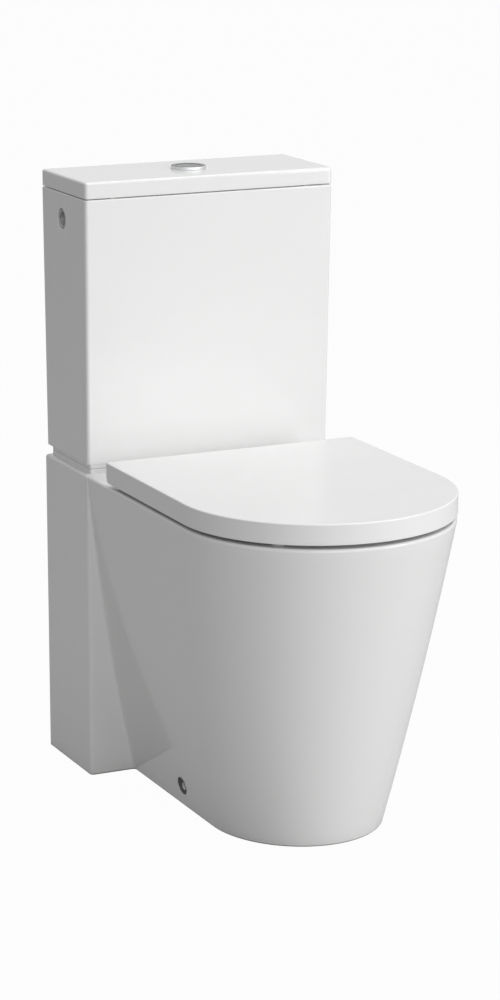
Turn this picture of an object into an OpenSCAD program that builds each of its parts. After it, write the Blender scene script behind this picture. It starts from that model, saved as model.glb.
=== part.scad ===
// Close coupled toilet: a skirted floor-standing pan, a cistern with a lift-off lid and
// push button, a dual flush valve, a side-entry fill valve and a soft-closing seat.
// Millimetres, +Z up. The origin is on the floor under the middle of the bounding box,
// the bowl points along -Y and the cistern's back lies in the wall plane.

/* [Pan] */
// Width of the pan at the rim and of its rear block
pan_width = 370; // [310:1:444]
// Depth from the wall to the front of the bowl
pan_depth = 660; // [560:1:792]
// Height of the pan's top above the floor
pan_height = 430; // [380:1:516]
// Depth of the rear block that carries the cistern
block_depth = 151; // [146:1:170]
// Half width of the bowl at the floor
foot_half_width = 118; // [105:1:135]
// Front-to-back radius of the nose at the floor
foot_nose = 132; // [115:1:150]
// Distance from the wall to the start of the nose at the floor
foot_nose_start = 412.5; // [380:0.5:430]
// How far the bowl's side bulges past a straight line
side_bulge = 7; // [2:0.5:9]
// Thickness of the pan's walls
pan_wall = 11; // [9:0.5:13]
// Thickness of the deck and of the rim
deck = 16; // [14:0.5:20]
// Rounding of the pan's upper edge
pan_edge = 6; // [2:0.5:8]

/* [Bowl] */
// Width of the china band between the bowl's opening and the pan's side
rim_band = 41; // [36:1:48]
// Distance from the front of the pan to the bowl's opening
rim_front = 45; // [40:1:60]
// Distance from the wall to the back of the bowl's opening
bowl_back = 260; // [255:1:275]
// Height of the trap's lowest passage above the floor
trap_low = 104; // [98:1:112]
// Height of the passage at the top of the trap
trap_high = 228; // [220:1:236]
// Inner radius of the trap
trap_r = 38; // [35:0.5:40]
// Height of the waste outlet's centre above the floor
outlet_height = 180; // [170:1:190]
// Outer radius of the waste spigot
spigot_r = 51; // [45:0.5:55]
// Distance from the wall plane to the spigot's end
spigot_gap = 15; // [5:1:25]

/* [Cistern] */
// Height of the recessed neck between the pan and the cistern
neck_height = 12.8; // [11:0.1:15]
// Height of the cistern without its lid
cistern_height = 364.2; // [350:0.1:437]
// Depth of the cistern at its bottom
cistern_bottom_depth = 145.5; // [140:0.5:150]
// Depth of the cistern under the lid
cistern_top_depth = 155; // [150:0.5:160]
// How much narrower the cistern is than the pan, on each side at the bottom
cistern_inset = 3; // [1:0.5:5]
// Thickness of the cistern's walls
cistern_wall = 9; // [7:0.5:11]
// Thickness of the cistern's floor
cistern_floor = 12; // [10:0.5:14]
// Thickness of the lid over its edge
lid_height = 22.8; // [18:0.1:28]
// Open joint between the cistern and its lid
lid_joint = 1.2; // [0.8:0.1:2]
// Thickness of the lid's top
lid_top = 10; // [8:0.5:12]

/* [Seat] */
// How far the closed cover stands out past the pan on each side
cover_overhang = 0.5; // [0:0.1:1]
// Height of the cover's lower edge above the pan
cover_gap = 5.4; // [4.5:0.1:6]
// Height of the cover's top above the pan
cover_height = 33; // [32.5:0.1:35]
// Distance from the wall to the cover's back edge
cover_back = 218.7; // [217:0.1:222]
// Thickness of the cover's top and skirt
cover_wall = 5; // [4:0.5:5]
// Running gap between the cover's skirt and the ring
ring_clearance = 2.5; // [2:0.1:3.5]
// Thickness of the seat ring
ring_height = 15; // [13:0.5:15]
// Width of the band of the seat ring as a share of its half width
ring_band_share = 0.41; // [0.36:0.01:0.44]
// Distance from the front of the ring to its opening
ring_front = 60.5; // [55:0.5:70]
// Width of the seat ring's band behind its opening
ring_rear = 76; // [70:1:90]
// Distance between the two seat fixings
hinge_centres = 155; // [150:1:160]
// Radius of the hinge pins
hinge_pin_r = 4; // [3:0.5:5]

/* [Flush] */
// Distance from the wall to the centre of the button and the flush valve
valve_back = 80; // [76:1:84]
// How far the chrome bezel stands out round the buttons
bezel_band = 7.1; // [6.3:0.1:9]
// Radius of the two buttons together
button_r = 17.2; // [16:0.1:17.5]
// Radius of the flush valve's threaded tail
tail_r = 30; // [28:0.5:31]
// Distance between the coupling bolts
coupling_centres = 160; // [150:1:170]

/* [Supply] */
// Height of the side inlet below the top of the cistern
inlet_drop = 35.5; // [34:0.5:40]
// Distance from the wall to the side inlet
inlet_back = 70; // [66:1:74]
// Radius of the inlet's recess
inlet_recess_r = 14; // [13.7:0.1:15]
// Inner radius of the inlet's thread
inlet_thread_r = 9.3; // [8:0.1:9.5]

/* [Floor fixing] */
// Distance from the wall to the side fixings
fixing_back = 329; // [310:1:340]
// Height of the side fixings above the floor
fixing_height = 32; // [28:1:36]
// Radius of the side fixings' holes
fixing_r = 11; // [10.7:0.1:12]

/* [Hidden] */
$fn = 48;

// Overlap that keeps a cut from ending flush with the face it cuts
over = 1;
// Thickness of the slices that a lofted shape is hulled from
slice = 0.01;
// Radial clearance of a bolt in a clearance hole
bolt_clearance = 1.5;
// Radial clearance of a pin that turns in its bore
running = 0.06;
// Radial gap of a pressed pin or of a thread drawn as a plain cylinder
snug = 0.02;
// Gap left between pieces that pass each other
gap = 0.5;

// Main planes and centres
back = pan_depth / 2;
front = -pan_depth / 2;
block_front = back - block_depth;
rim_half = pan_width / 2;
rim_centre = front + rim_half;
foot_centre = back - foot_nose_start;
bulge_share = side_bulge / (rim_half - foot_half_width);
// The nose's centre lags by this share, which keeps the front edge straight in profile
nose_lag = 0.085;
loft_steps = 8;
edge_steps = 3;
nose_steps = 28;
valve_y = back - valve_back;

// Cistern levels
cistern_bottom = pan_height + neck_height;
cistern_top = cistern_bottom + cistern_height;
floor_z = cistern_bottom + cistern_floor;
lid_bottom = cistern_top + lid_joint;
top_z = lid_bottom + lid_height;
bottom_half = rim_half - cistern_inset;
top_half = bottom_half + 2.5;
cistern_corner = 5;
cistern_edge = 3;
lid_edge = 1;

// Pan details
plinth_height = 6;
plinth_wall = 10;
neck_side = 5;
neck_front = 2.5;
channel_half = 30;
channel_drop = 60;
channel_roof = 20;
channel_wall = 8;
inlet_r = tail_r + 6;
seat_hole_r = 7.5;
coupling_r = 4;
spigot_wall = 8;
bolt_gap = 0.3;
bolt_seal = 4;
washer = 1.5;
block_corner = 6;
block_overlap = 20;
// Share of the opening's length that lies in front of its widest place
nose_share = 0.42;
// Bowl levels: depth below the deck, share of the opening's width, and how far the
// front and the back have drawn in
bowl_levels = [[0, 1, 0, 0], [60, 0.985, 2, 2], [130, 0.84, 34, 14], [195, 0.57, 98, 32]];
// The throat from the bowl's floor down to the trap's mouth
throat_top = pan_height - 189;
throat_share = 0.55;
throat_front = 102;
throat_rear = 33;
mouth_y = back - 362;
mouth_half = 46;
mouth_front = 62;
mouth_rear = 66;
mouth_lift = 6;
trap_wall = 9;
bend_growth = 0.6;
spigot_length = 140;
spigot_bore = 120;
// Distance from the trap's last bend to the start of the thicker spigot
spigot_step = 10;
// Level where the trapway is joined on under the bowl
split_z = pan_height - bowl_levels[len(bowl_levels) - 1][0];
trap_points = [[back - 356, trap_low + mouth_lift], [back - 300, trap_low],
    [back - 215, trap_high], [back - spigot_length, outlet_height],
    [back - 60, outlet_height]];

// Seat and hinge
hinge_y = back - cover_back - 15;
hinge_z = pan_height + cover_height - 15.5;
barrel_r = 9;
post_half = 13;
lug_length = 30;
flange_height = 3;
bolt_offset = 16;
cover_half = rim_half + cover_overhang;
cover_under = pan_height + cover_height - cover_wall;
ring_half = cover_half - cover_wall - ring_clearance;
ring_band = ring_half * ring_band_share;
ring_top = cover_under - 2;
// Gap between the ring's back edge and the hinge's axis
ring_setback = 12;
ring_bottom = ring_top - ring_height;
ring_nose = front + cover_wall + ring_clearance;
hinge_x = hinge_centres / 2;
damper_r = 6.5;
damper_length = 24;
bolt_y = hinge_y - bolt_offset;
bolt_drop = 24;
bolt_head_r = 6.5;
bolt_head = 4;
bush_drop = 16;
bush_swell = 2.5;
hole_gap = 0.2;
seat_nut_r = 7.5;
seat_nut_height = 6;
post_depth = 15;

// Buttons and rods
bezel_height = 4.3;
shank_r = button_r + 3.8;
bezel_r = button_r + bezel_band;
bezel_draft = 0.9;
well_clearance = 0.3;
drain_r = 5;
nut_height = 7;
gasket_height = 1.5;
shelf_z = lid_bottom - 3;
shelf = 3;
button_top = top_z + bezel_height - 0.4;
button_height = 7;
button_under = button_top - button_height;
split_y = -3;
split_gap = 0.6;
rod_r = 3;
rod_x = 0.407 * button_r;
full_rod_y = 0.465 * button_r;
half_rod_y = -0.523 * button_r;
spring_r = 4.7;
spring_wire = 0.5;
spring_turns = 4;
pin_r = 1.5;

// Flush valve, from the cistern's floor up
seal_height = 3;
base_flange = 4;
base_top = floor_z + seal_height + base_flange;
seat_lip = 4;
seat_z = base_top + seat_lip;
piston_seal_height = 2.5;
disc_z = seat_z + 0.3 + piston_seal_height;
disc_height = 4;
overflow_r = 14;
overflow_wall = 2;
overflow_top = top_z - 141;
housing_r = tail_r + 6;
housing_wall = 2.5;
tail_low = pan_height - 14;
tail_wall = 3.5;
backnut_height = 8;
// Ears that hold a rocker's pin: their distance from the rocker's middle and thickness
ear_offset = 5.5;
ear_width = 7;
ear_thick = 2;
pin_length = 13;
pad_half = 4.2;
stem_x = -housing_r - 6;
stem_half = 2;
lift_bar = 4;
lift_width = 6;
head_z = overflow_top + 4;
head_plate = 4;
pivot_x = 20;
pivot_z = head_z + head_plate + 10.5;
rocker_half = 2.5;
rocker_top = pivot_z + rocker_half;
rocker_length = 18;
rocker_gap = 0.7;
lift_under = rocker_top + rocker_gap;
rod_tip = rocker_top + rocker_gap;

// Supply
inlet_z = cistern_top - inlet_drop;
inlet_y = back - inlet_back;
boss_r = inlet_recess_r + 9;
boss = 6;
shank_hole_r = inlet_recess_r - 1.2;
inlet_shank_r = inlet_recess_r - 1.6;
recess_depth = 6;
flange_inset = 2;
bush_flange = 4;
bush_bore = 5;
thread_depth = 20;
washer_r = inlet_recess_r + 4;
washer_height = 2;
side_nut_height = 7;
// Half width of the cistern outside at a given height
function cistern_half(z) =
    bottom_half + (top_half - bottom_half) * (z - cistern_bottom) / cistern_height;
side_x = cistern_half(inlet_z);
boss_x = side_x - cistern_wall - boss;
shank_end = boss_x - 16;
valve_x = side_x - 49;
arm = 50;
lever_offset = 12;
lever_z = inlet_z + lever_offset;
float_x = valve_x - lever_offset - arm;
rod_thin = 2;
collar_offset = 5.5;
collar_height = 3;

// Floor fixing
function rise(z) = max(0, min(1, z / pan_height));
function bulged(t) = t + 4 * bulge_share * t * (1 - t);
function half_at(z) = foot_half_width + (rim_half - foot_half_width) * bulged(rise(z));
function nose_at(z) = foot_nose + (rim_half - foot_nose) * bulged(rise(z));
function centre_at(z) = foot_centre
    + (rim_centre - foot_centre) * (rise(z) - 4 * nose_lag * rise(z) * (1 - rise(z)));
fixing_y = back - fixing_back;
fixing_x = half_at(fixing_height);
bracket_x = half_at(0) - pan_wall - 4;
bracket_height = 48;

// ---------------------------------------------------------------- shared shapes

// Outline of the bowl seen from above: straight sides and a half-oval nose
function nose_outline(half, nose, centre, rear) = concat(
    [for (i = [0:nose_steps]) let (a = 180 * i / nose_steps)
        [-half * cos(a), centre - nose * sin(a)]],
    [[half, rear], [-half, rear]]);

// Outline of the bowl's opening: a half-oval nose and a half-oval back
function egg_outline(half, nose_y, back_y, nose_share) = let (
    centre = nose_y + (back_y - nose_y) * nose_share)
    [for (i = [0:2 * nose_steps - 1]) let (a = 180 * i / nose_steps)
        [-half * cos(a), sin(a) > 0 ? centre - (centre - nose_y) * sin(a)
            : centre - (back_y - centre) * sin(a)]];

// The pan's tapering outside, drawn in by an inset and ending in a rounded upper edge
module bowl_loft(inset, low, high, rear, edge) {
    hull() {
        for (i = [0:loft_steps]) {
            z = low + (high - edge - low) * i / loft_steps;
            translate([0, 0, z])
                linear_extrude(slice)
                    polygon(nose_outline(half_at(z) - inset, nose_at(z) - inset,
                        centre_at(z), rear));
        }
        if (edge > 0) for (i = [1:edge_steps]) {
            a = 90 * i / edge_steps;
            z = high - edge + edge * sin(a);
            step = inset + edge * (1 - cos(a));
            translate([0, 0, z - slice])
                linear_extrude(slice)
                    polygon(nose_outline(half_at(z) - step, nose_at(z) - step,
                        centre_at(z), rear));
        }
    }
}

// A slice of a box that stands against the wall, with rounded front corners
module wall_slice(half, front_y, rear_y, r) {
    linear_extrude(slice) {
        for (s = [-1, 1]) {
            translate([s * (half - r), front_y + r])
                circle(r, $fn = 32);
            translate([s * (half - 1), rear_y - 1])
                circle(1, $fn = 16);
        }
    }
}

// Outline of a box that stands against the wall, with rounded front corners
module wall_outline(half, front_y, rear_y, r) {
    for (s = [-1, 1])
        translate([s * (half - r), front_y + r])
            circle(r);
    translate([r - half, front_y])
        square([2 * (half - r), rear_y - front_y]);
    translate([-half, front_y + r])
        square([2 * half, rear_y - front_y - r]);
}

// A tube's solid run through a list of [y, z] points, with a ball at every bend
module pipe_run(points, r) {
    for (i = [0:len(points) - 2]) {
        step = points[i + 1] - points[i];
        translate([0, points[i].x, points[i].y])
            rotate([-atan2(step.x, step.y), 0, 0])
                cylinder(r = r, h = norm(step));
    }
    for (i = [1:len(points) - 2])
        translate([0, points[i].x, points[i].y])
            sphere(r = r + bend_growth);
}

// A washer or ring that stands on z = 0
module ring(outer, inner, h) {
    difference() {
        cylinder(r = outer, h = h);
        translate([0, 0, -over])
            cylinder(r = inner, h = h + 2 * over);
    }
}

// A hexagon nut with a bore, standing on z = 0
module hex_nut(r, bore, h) {
    difference() {
        cylinder(r = r, h = h, $fn = 6);
        translate([0, 0, -over])
            cylinder(r = bore, h = h + 2 * over);
    }
}

// Places its children at both signs of an x offset
module both_sides(x, y, z) {
    for (s = [-1, 1])
        translate([s * x, y, z])
            children();
}

// A bar along X between two places, round the line (y, z)
module bar_x(x0, x1, y, z, r) {
    translate([min(x0, x1), y, z])
        rotate([0, 90, 0])
            cylinder(r = r, h = abs(x1 - x0));
}

// A coiled compression spring swept along its helix as one closed skin
module coil_spring(r, wire, h, turns) {
    sides = 6;
    rings = turns * 18;
    pitch = (h - 2 * wire) / turns;
    points = [for (i = [0:rings]) let (a = 360 * turns * i / rings)
        for (j = [0:sides - 1]) let (b = 360 * j / sides)
            [(r + wire * cos(b)) * cos(a), (r + wire * cos(b)) * sin(a),
                wire + pitch * turns * i / rings + wire * sin(b)]];
    skin = [for (i = [0:rings - 1]) for (j = [0:sides - 1])
        let (k = (j + 1) % sides)
            [i * sides + j, i * sides + k, (i + 1) * sides + k, (i + 1) * sides + j]];
    caps = [[for (j = [sides - 1:-1:0]) j], [for (j = [0:sides - 1]) rings * sides + j]];
    polyhedron(points, concat(skin, caps), convexity = 8);
}

// ---------------------------------------------------------------- pan

module bowl_hull(grow, drop) {
    hull() {
        for (level = bowl_levels)
            translate([0, 0, pan_height - level[0] - (level[0] == 0 ? drop : 0)])
                linear_extrude(slice)
                    polygon(egg_outline((rim_half - rim_band) * level[1] + grow,
                        front + rim_front + level[2] - grow,
                        back - bowl_back - level[3] + grow, nose_share));
    }
}

module throat_hull(grow) {
    hull() {
        translate([0, 0, throat_top])
            linear_extrude(slice)
                polygon(egg_outline((rim_half - rim_band) * throat_share + grow,
                    front + rim_front + throat_front - grow,
                    back - bowl_back - throat_rear + grow, nose_share));
        translate([0, mouth_y, trap_low - grow + mouth_lift])
            linear_extrude(slice)
                polygon(egg_outline(mouth_half + grow, -mouth_front - grow, mouth_rear + grow,
                    nose_share));
    }
}

// Raised rim on the pan's top that the cistern's own rim stands over
module pan_neck() {
    depth = cistern_bottom_depth - neck_front - neck_side;
    half = bottom_half - neck_side;
    color("white")
    translate([0, back - neck_side - depth / 2, pan_height + plinth_height / 2])
        difference() {
            cube([2 * half, depth, plinth_height], center = true);
            cube([2 * (half - plinth_wall), depth - 2 * plinth_wall, plinth_height + 4],
                center = true);
        }
}

// Mouth, trap and waste spigot, from the underside of the bowl to the back
module trapway() {
    color("white")
    difference() {
        union() {
            intersection() {
                throat_hull(pan_wall);
                translate([-rim_half, front, 0])
                    cube([pan_width, pan_depth, split_z]);
            }
            pipe_run(trap_points, trap_r + trap_wall);
            translate([0, back - spigot_length + spigot_step, outlet_height])
                rotate([-90, 0, 0])
                    cylinder(r = spigot_r, h = spigot_length - spigot_step - spigot_gap);
        }
        throat_hull(0);
        pipe_run(trap_points, trap_r);
        translate([0, back - spigot_bore, outlet_height])
            rotate([-90, 0, 0])
                cylinder(r = spigot_r - spigot_wall, h = spigot_bore);
    }
}

module pan() {
    rear = block_front + block_overlap;
    color("white")
    difference() {
        union() {
            difference() {
                union() {
                    bowl_loft(0, 0, pan_height, rear, pan_edge);
                    hull() {
                        for (z = [0, pan_height - pan_edge])
                            translate([0, 0, z])
                                wall_slice(rim_half, block_front, back, block_corner);
                        for (i = [1:edge_steps]) {
                            a = 90 * i / edge_steps;
                            step = pan_edge * (1 - cos(a));
                            translate([0, 0, pan_height - pan_edge * (1 - sin(a)) - slice])
                                wall_slice(rim_half - step, block_front + step, back,
                                    block_corner);
                        }
                    }
                }
                bowl_loft(pan_wall, -over, pan_height - deck, rear + over, 0);
                translate([pan_wall - rim_half, block_front + pan_wall, -over])
                    cube([pan_width - 2 * pan_wall, block_depth, pan_height - deck + over]);
            }
            bowl_hull(pan_wall, 3);
            intersection() {
                throat_hull(pan_wall);
                translate([-rim_half, front, split_z])
                    cube([pan_width, pan_depth, pan_height - split_z]);
            }
            flush_channel(channel_wall);
        }
        bowl_hull(0, -over);
        throat_hull(0);
        flush_channel(0);
        translate([0, valve_y, pan_height - channel_roof - over])
            cylinder(r = inlet_r, h = channel_roof + 2 * over);
        both_sides(hinge_x, bolt_y, pan_height - deck - over)
            cylinder(r = seat_hole_r, h = deck + 2 * over);
        both_sides(coupling_centres / 2, valve_y, pan_height - deck - over)
            cylinder(r = coupling_r + bolt_clearance, h = deck + 2 * over);
        translate([0, fixing_y, fixing_height])
            rotate([0, 90, 0])
                cylinder(r = fixing_r, h = pan_width, center = true);
    }
}

// Water way from under the flush valve to the back of the bowl
module flush_channel(grow) {
    low = pan_height - channel_drop - grow;
    high = pan_height - channel_roof + (grow > 0 ? 6 : 0);
    start = back - bowl_back - 6;
    translate([-channel_half - grow, start, low])
        cube([2 * (channel_half + grow), valve_y - start, high - low]);
    translate([0, valve_y, low])
        cylinder(r = inlet_r + grow, h = high - low);
}

// ---------------------------------------------------------------- cistern

module cistern_hull(inset, low, high, edge) {
    rear = back - inset;
    function front_at(z) = back - cistern_bottom_depth
        - (cistern_top_depth - cistern_bottom_depth) * (z - cistern_bottom) / cistern_height;
    hull() {
        for (z = [low + edge, high - slice])
            translate([0, 0, z])
                wall_slice(cistern_half(z) - inset, front_at(z) + inset, rear, cistern_corner);
        if (edge > 0) for (i = [1:edge_steps]) {
            a = 90 * i / edge_steps;
            step = edge * (1 - cos(a));
            translate([0, 0, low + edge * (1 - sin(a))])
                wall_slice(cistern_half(low) - step, front_at(low) + step, rear,
                    cistern_corner);
        }
    }
}

module cistern_plinth() {
    depth = cistern_bottom_depth - neck_front - neck_side;
    half = bottom_half - neck_side;
    low = pan_height + plinth_height + 1;
    high = cistern_bottom + 1;
    translate([0, back - neck_side - depth / 2, (low + high) / 2])
        difference() {
            cube([2 * half, depth, high - low], center = true);
            cube([2 * (half - plinth_wall), depth - 2 * plinth_wall, high - low + over],
                center = true);
        }
}

module cistern() {
    color("white")
    difference() {
        union() {
            difference() {
                cistern_hull(0, cistern_bottom, cistern_top, cistern_edge);
                cistern_hull(cistern_wall, floor_z, cistern_top + over, 0);
            }
            cistern_plinth();
            for (s = [-1, 1])
                bar_x(s * boss_x, s * (side_x - cistern_wall / 2), inlet_y, inlet_z, boss_r);
        }
        translate([0, valve_y, cistern_bottom - over])
            cylinder(r = tail_r + 1, h = cistern_floor + 2 * over);
        both_sides(coupling_centres / 2, valve_y, cistern_bottom - over)
            cylinder(r = coupling_r + bolt_clearance, h = cistern_floor + 2 * over);
        for (s = [-1, 1]) {
            bar_x(s * (boss_x - over), s * (side_x + 2 * over), inlet_y, inlet_z,
                shank_hole_r);
            bar_x(s * (side_x - recess_depth), s * (side_x + 2 * over), inlet_y, inlet_z,
                inlet_recess_r);
        }
    }
}

module cistern_lid() {
    lip = 6;
    lip_drop = 10;
    lip_clearance = 2;
    half = top_half - cistern_wall - lip_clearance;
    lip_front = back - cistern_top_depth + cistern_wall + lip_clearance;
    lip_back = back - cistern_wall - lip_clearance;
    color("white")
    difference() {
        union() {
            translate([0, 0, lid_bottom])
                linear_extrude(lid_height - lid_edge)
                    wall_outline(top_half, back - cistern_top_depth, back, cistern_corner);
            translate([0, 0, lid_bottom])
                linear_extrude(lid_height)
                    wall_outline(top_half - lid_edge, back - cistern_top_depth + lid_edge,
                        back - lid_edge, cistern_corner);
            translate([-half, lip_front, lid_bottom - lip_drop])
                cube([2 * half, lip_back - lip_front, lip_drop + 2]);
        }
        translate([lip - half, lip_front + lip, lid_bottom - lip_drop - over])
            cube([2 * (half - lip), lip_back - lip_front - 2 * lip,
                lip_drop + lid_height - lid_top + over]);
        translate([0, valve_y, top_z - lid_top - over])
            cylinder(r = shank_r + 1, h = lid_top + 2 * over);
    }
}

module lid_pads() {
    color("gray")
    for (s = [-1, 1]) for (y = [back - cistern_top_depth + 4.5, back - 4.5])
        translate([s * (top_half - 40), y, cistern_top])
            cylinder(r = 3, h = lid_joint);
}

// ---------------------------------------------------------------- seat

// Outline with a round nose, straight sides and a square back edge
module seat_outline(r, nose, rear) {
    difference() {
        union() {
            translate([0, nose])
                circle(r);
            translate([-r, nose])
                square([2 * r, rear + over - nose]);
        }
        translate([-2 * r, rear])
            square([4 * r, 2 * r]);
    }
}

module cover_outline(inset) {
    seat_outline(cover_half - inset, front + cover_half, back - cover_back - inset);
}

module hinge_lug(x0, x1) {
    bar_x(x0, x1, hinge_y, hinge_z, barrel_r);
}

module seat_cover() {
    lug_x = hinge_x + post_half + gap;
    low = pan_height + cover_gap;
    swing_r = 16;
    color("white")
    difference() {
        union() {
            difference() {
                translate([0, 0, low])
                    linear_extrude(cover_height - cover_gap)
                        cover_outline(0);
                translate([0, 0, low - over])
                    linear_extrude(cover_under - low + over)
                        cover_outline(cover_wall);
            }
            for (s = [-1, 1]) {
                hinge_lug(s * lug_x, s * (lug_x + lug_length));
                translate([s * (lug_x + lug_length / 2), hinge_y, (hinge_z + cover_under) / 2 + 1])
                    cube([lug_length, 2 * barrel_r, cover_under - hinge_z + 2], center = true);
            }
        }
        // The back edge is rounded about the hinge so that it clears the pan as it turns
        difference() {
            translate([-cover_half - over, hinge_y, low - over])
                cube([2 * cover_half + 2 * over, cover_back, hinge_z - low + over]);
            bar_x(-cover_half - 2 * over, cover_half + 2 * over, hinge_y, hinge_z, swing_r);
        }
        both_sides(hinge_x, back - cover_back, low - over)
            translate([-post_half - 1, -cover_wall - over, 0])
                cube([2 * post_half + 2, cover_wall + 2 * over, cover_under - low + over]);
        for (s = [-1, 1])
            bar_x(s * (lug_x - over), s * (lug_x + lug_length + over), hinge_y, hinge_z,
                damper_r);
    }
}

module ring_outline() {
    seat_outline(ring_half, ring_nose + ring_half, hinge_y - ring_setback);
}

module ring_hole() {
    r = ring_half - ring_band;
    centre = ring_nose + ring_front + r;
    rear_centre = hinge_y - ring_setback - ring_rear - r;
    for (y = [centre, rear_centre])
        translate([0, y])
            circle(r);
    translate([-r, centre])
        square([2 * r, rear_centre - centre]);
}

module seat_ring() {
    lug_x = hinge_x - post_half - gap;
    color("white")
    difference() {
        union() {
            translate([0, 0, ring_bottom])
                linear_extrude(ring_height)
                    difference() {
                        ring_outline();
                        ring_hole();
                    }
            for (s = [-1, 1]) {
                hinge_lug(s * (lug_x - lug_length), s * lug_x);
                translate([s * (lug_x - lug_length / 2), hinge_y - barrel_r, hinge_z - 0.5])
                    cube([lug_length, 2 * barrel_r, ring_height - 1], center = true);
            }
        }
        for (s = [-1, 1])
            bar_x(s * (lug_x - lug_length - over), s * (lug_x + over), hinge_y, hinge_z,
                damper_r);
    }
}

// Spots round the rim where the rubber buffers sit: one beside the bowl, one near its nose
buffer_inset = 19.4;
buffer_angle = 42.5;
buffer_spots = [[ring_half - buffer_inset, rim_centre + 125],
    [(rim_half - buffer_inset) * sin(buffer_angle),
        rim_centre - (rim_half - buffer_inset) * cos(buffer_angle)]];

module cover_buffers() {
    color("lightgray")
    for (spot = buffer_spots)
        both_sides(spot.x, spot.y, ring_top + 0.3)
            cylinder(r = 6, h = cover_under - ring_top - 0.3);
}

module ring_buffers() {
    color("lightgray")
    for (spot = buffer_spots)
        both_sides(spot.x, spot.y, pan_height)
            cylinder(r = 8, h = ring_bottom - pan_height);
}

module hinge_posts() {
    color("silver")
    for (s = [-1, 1])
        difference() {
            union() {
                bar_x(s * (hinge_x - post_half), s * (hinge_x + post_half), hinge_y, hinge_z,
                    barrel_r - gap);
                translate([s * hinge_x - post_half, hinge_y - post_depth / 2, pan_height + 1])
                    cube([2 * post_half, post_depth, hinge_z - pan_height - 1]);
                translate([s * hinge_x, bolt_y, pan_height])
                    cylinder(r = post_half, h = flange_height);
                translate([s * hinge_x - post_half, bolt_y, pan_height])
                    cube([2 * post_half, bolt_offset + post_depth / 2, flange_height]);
            }
            bar_x(s * (hinge_x - post_half - over), s * (hinge_x + post_half + over),
                hinge_y, hinge_z, hinge_pin_r + snug);
            translate([s * hinge_x, bolt_y, pan_height - over])
                cylinder(r = coupling_r + hole_gap, h = flange_height + 2 * over);
        }
}

module hinge_pins() {
    reach = post_half + gap + damper_length - 4;
    color("silver")
    for (s = [-1, 1])
        bar_x(s * hinge_x - reach, s * hinge_x + reach, hinge_y, hinge_z, hinge_pin_r);
}

// Soft-close cartridges, side -1 towards the middle and side 1 towards the outside
module dampers(side) {
    start = post_half + gap;
    color("dimgray")
    for (s = [-1, 1])
        difference() {
            bar_x(s * (hinge_x + side * start), s * (hinge_x + side * (start + damper_length)),
                hinge_y, hinge_z, damper_r - 0.03);
            bar_x(s * (hinge_x + side * (start - over)),
                s * (hinge_x + side * (start + damper_length - 3)),
                hinge_y, hinge_z, hinge_pin_r + running);
        }
}

module seat_bolts() {
    shank = deck + bolt_drop + flange_height;
    color("silver")
    both_sides(hinge_x, bolt_y, pan_height - deck - bolt_drop) {
        cylinder(r = coupling_r, h = shank);
        translate([0, 0, shank])
            cylinder(r = bolt_head_r, h = bolt_head);
    }
}

module seat_bushes() {
    color("dimgray")
    both_sides(hinge_x, bolt_y, pan_height - deck - bush_drop) {
        ring(seat_hole_r - hole_gap, coupling_r + hole_gap, deck + bush_drop);
        ring(seat_hole_r + bush_swell, coupling_r + hole_gap, bush_drop - hole_gap);
    }
}

module seat_nuts() {
    color("silver")
    both_sides(hinge_x, bolt_y, pan_height - deck - bush_drop - seat_nut_height)
        hex_nut(seat_nut_r, coupling_r + snug, seat_nut_height);
}

// ---------------------------------------------------------------- button

module button_bezel() {
    color("silver")
    translate([0, valve_y, 0])
        difference() {
            union() {
                translate([0, 0, top_z])
                    cylinder(r1 = bezel_r, r2 = bezel_r - bezel_draft, h = bezel_height);
                translate([0, 0, shelf_z])
                    cylinder(r = shank_r, h = top_z - shelf_z + over);
            }
            translate([0, 0, shelf_z + shelf])
                cylinder(r = button_r + well_clearance, h = top_z);
            for (s = [-1, 1])
                translate([s * rod_x, s > 0 ? full_rod_y : half_rod_y, shelf_z - over])
                    cylinder(r = rod_r + well_clearance, h = shelf + 2 * over);
            translate([0, 0, shelf_z - over])
                cylinder(r = drain_r, h = shelf + 2 * over);
        }
}

module bezel_gasket() {
    color("dimgray")
    translate([0, valve_y, top_z - lid_top - gasket_height])
        ring(bezel_r + 2.7, shank_r + well_clearance, gasket_height);
}

module bezel_nut() {
    color("gray")
    translate([0, valve_y, top_z - lid_top - gasket_height - nut_height])
        hex_nut(shank_r + 9, shank_r + snug, nut_height);
}

// One of the two buttons: side 1 is the larger one at the back
module button_half(side) {
    color("silver")
    translate([0, valve_y, button_under])
        intersection() {
            cylinder(r = button_r, h = button_height);
            translate([-button_r, side > 0 ? split_y : -button_r - over, -over])
                cube([2 * button_r,
                    side > 0 ? 2 * button_r : button_r + over + split_y - split_gap,
                    button_height + 2 * over]);
        }
}

module full_flush_button() {
    button_half(1);
}

module half_flush_button() {
    button_half(-1);
}

module push_rod(x, y) {
    color("white")
    translate([x, valve_y + y, rod_tip + rod_r]) {
        cylinder(r = rod_r, h = button_under - rod_tip - rod_r);
        sphere(r = rod_r);
    }
}

module full_flush_rod() {
    push_rod(rod_x, full_rod_y);
}

module half_flush_rod() {
    push_rod(-rod_x, half_rod_y);
}

module button_spring(x, y) {
    color("silver")
    translate([x, valve_y + y, shelf_z + shelf + 0.1])
        coil_spring(spring_r, spring_wire, button_under - shelf_z - shelf - 0.2,
            spring_turns);
}

module full_flush_spring() {
    button_spring(rod_x, full_rod_y);
}

module half_flush_spring() {
    button_spring(-rod_x, half_rod_y);
}

// ---------------------------------------------------------------- flush valve

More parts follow.
